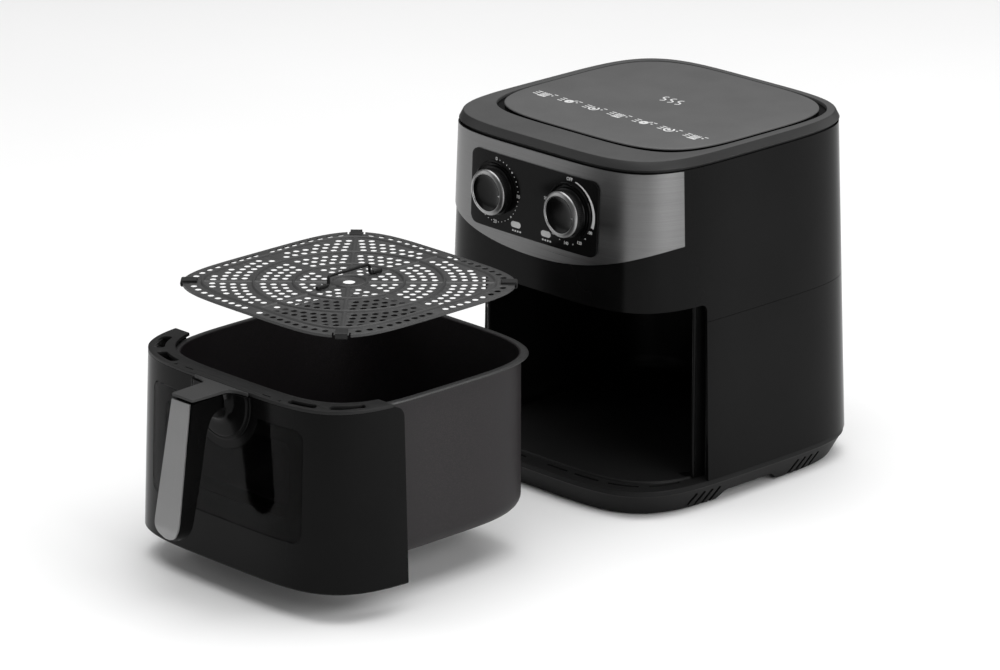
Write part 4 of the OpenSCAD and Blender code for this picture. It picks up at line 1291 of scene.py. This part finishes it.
def build_tray():
    outlines = [tray_outline()] + tray_holes()
    bm = flat_plate("tray_plate", outlines, TRAY_THICK - PLATE_THIN, TRAY_THICK, 0.12)
    piece(make("tray_plate", bm, TRAY), "tray", "tray_coating", ["crisper_tray"])
    ribs = bmesh.new()
    for r in RIB_CIRCLES:
        add_rib(ribs, circle(0, 0, r, 96), closed=True)
    add_rib(ribs, [tray_edge(2 * pi * i / 160, RIB_SQUARE) for i in range(160)], closed=True)
    for k in range(8):
        t = k * pi / 4
        end = RIB_SQUARE if k % 2 == 0 else 124
        path = [(r * cos(t), r * sin(t)) for r in (15, 30, 46, 62, 78, end - 2, end)]
        add_rib(ribs, path, 5.0, 0.8)
    ribs = make("tray_ribs", ribs, TRAY + Vector((0, 0, TRAY_THICK * MM)))
    piece(ribs, "tray", "tray_coating", smooth=60)
    rings = [ring(TRAY_HALF + grow, TRAY_HALF + grow, TRAY_N, z) for grow, z in EDGE_PROFILE]
    edge = make("tray_edge", solid(rings, loop=True), TRAY)
    gap = rect(CORNER_R - 12, -CLIP_GAP, CORNER_R + 6, CLIP_GAP)
    cut(edge, [join([turned_to_corner(prism(gap, -6, 4, "z"), i) for i in range(4)])], TRAY)
    piece(edge, "tray", "tray_coating")


def build_clips():
    section = [(CORNER_R + r, z) for r, z in CLIP_PROFILE]
    clips = [turned_to_corner(prism(section, -CLIP_HALF, CLIP_HALF, "y"), i) for i in range(4)]
    clips = make("corner_clips", join(clips), TRAY)
    piece(clips, "tray", "silicone_black", ["tray_clips"], bevel=0.6)


def build_bail():
    lugs = bmesh.new()
    for side in (-1, 1):
        y = side * LUG_Y
        path = [(0, y + along, BAIL_Z) for along in (-LUG_HALF, -4.2, 0, 4.2, LUG_HALF)]
        tube(lugs, path, 1.9, 20)
        loft(lugs, [level(rect(-width, y - 2.4, width, y + 2.4), z) for width, z in SADDLE_STEPS])
    lugs = make("bail_lug_pair", lugs, TRAY)
    piece(lugs, "tray", "wire_black", ["bail_lugs"], bevel=0.4)

    foot, top = (-BAIL_LEG_Y - BAIL_BEND, BAIL_Z), BAIL_Z + BAIL_RISE - BAIL_BEND
    bend = [(BAIL_BEND * sin(t), BAIL_BEND * (1 - cos(t))) for t in (0.5, 1.0, pi / 2)]
    path = [(0, -BAIL_END_Y, BAIL_Z), (0, *foot)]
    path += [(0, foot[0] + far, foot[1] + near) for far, near in bend]
    path += [(0, -BAIL_LEG_Y, top)]
    path += [(0, -BAIL_LEG_Y + near, top + far) for far, near in bend]
    path += [(0, -y, z) for _, y, z in reversed(path)]
    bail = make("bail_wire", tube(bmesh.new(), path, BAIL_WIRE), TRAY)
    piece(bail, "bail", "wire_black", ["tray_bail"], smooth=60)


# ---- everything

def dress_frame():
    """Gives every CAD node the material of its slot."""
    slots = {part["node"]: part["material_slot"] for part in frame["record"]["subparts"]}
    for name, obj in frame["nodes"].items():
        obj.data.materials.clear()
        obj.data.materials.append(material(slots[name]))


add_camera()
add_studio()
dress_frame()
build_base()
build_shells()
build_liner()
build_cover()
build_band()
build_panel()
build_marks()
build_lid_signs()
build_knob(-1, "timer_dial", "timer")
build_knob(1, "temperature_dial", "temperature")
build_drawer_front()
build_top_frame()
build_pan()
build_grip()
build_boss()
build_cap()
build_trim()
build_tray()
build_clips()
build_bail()
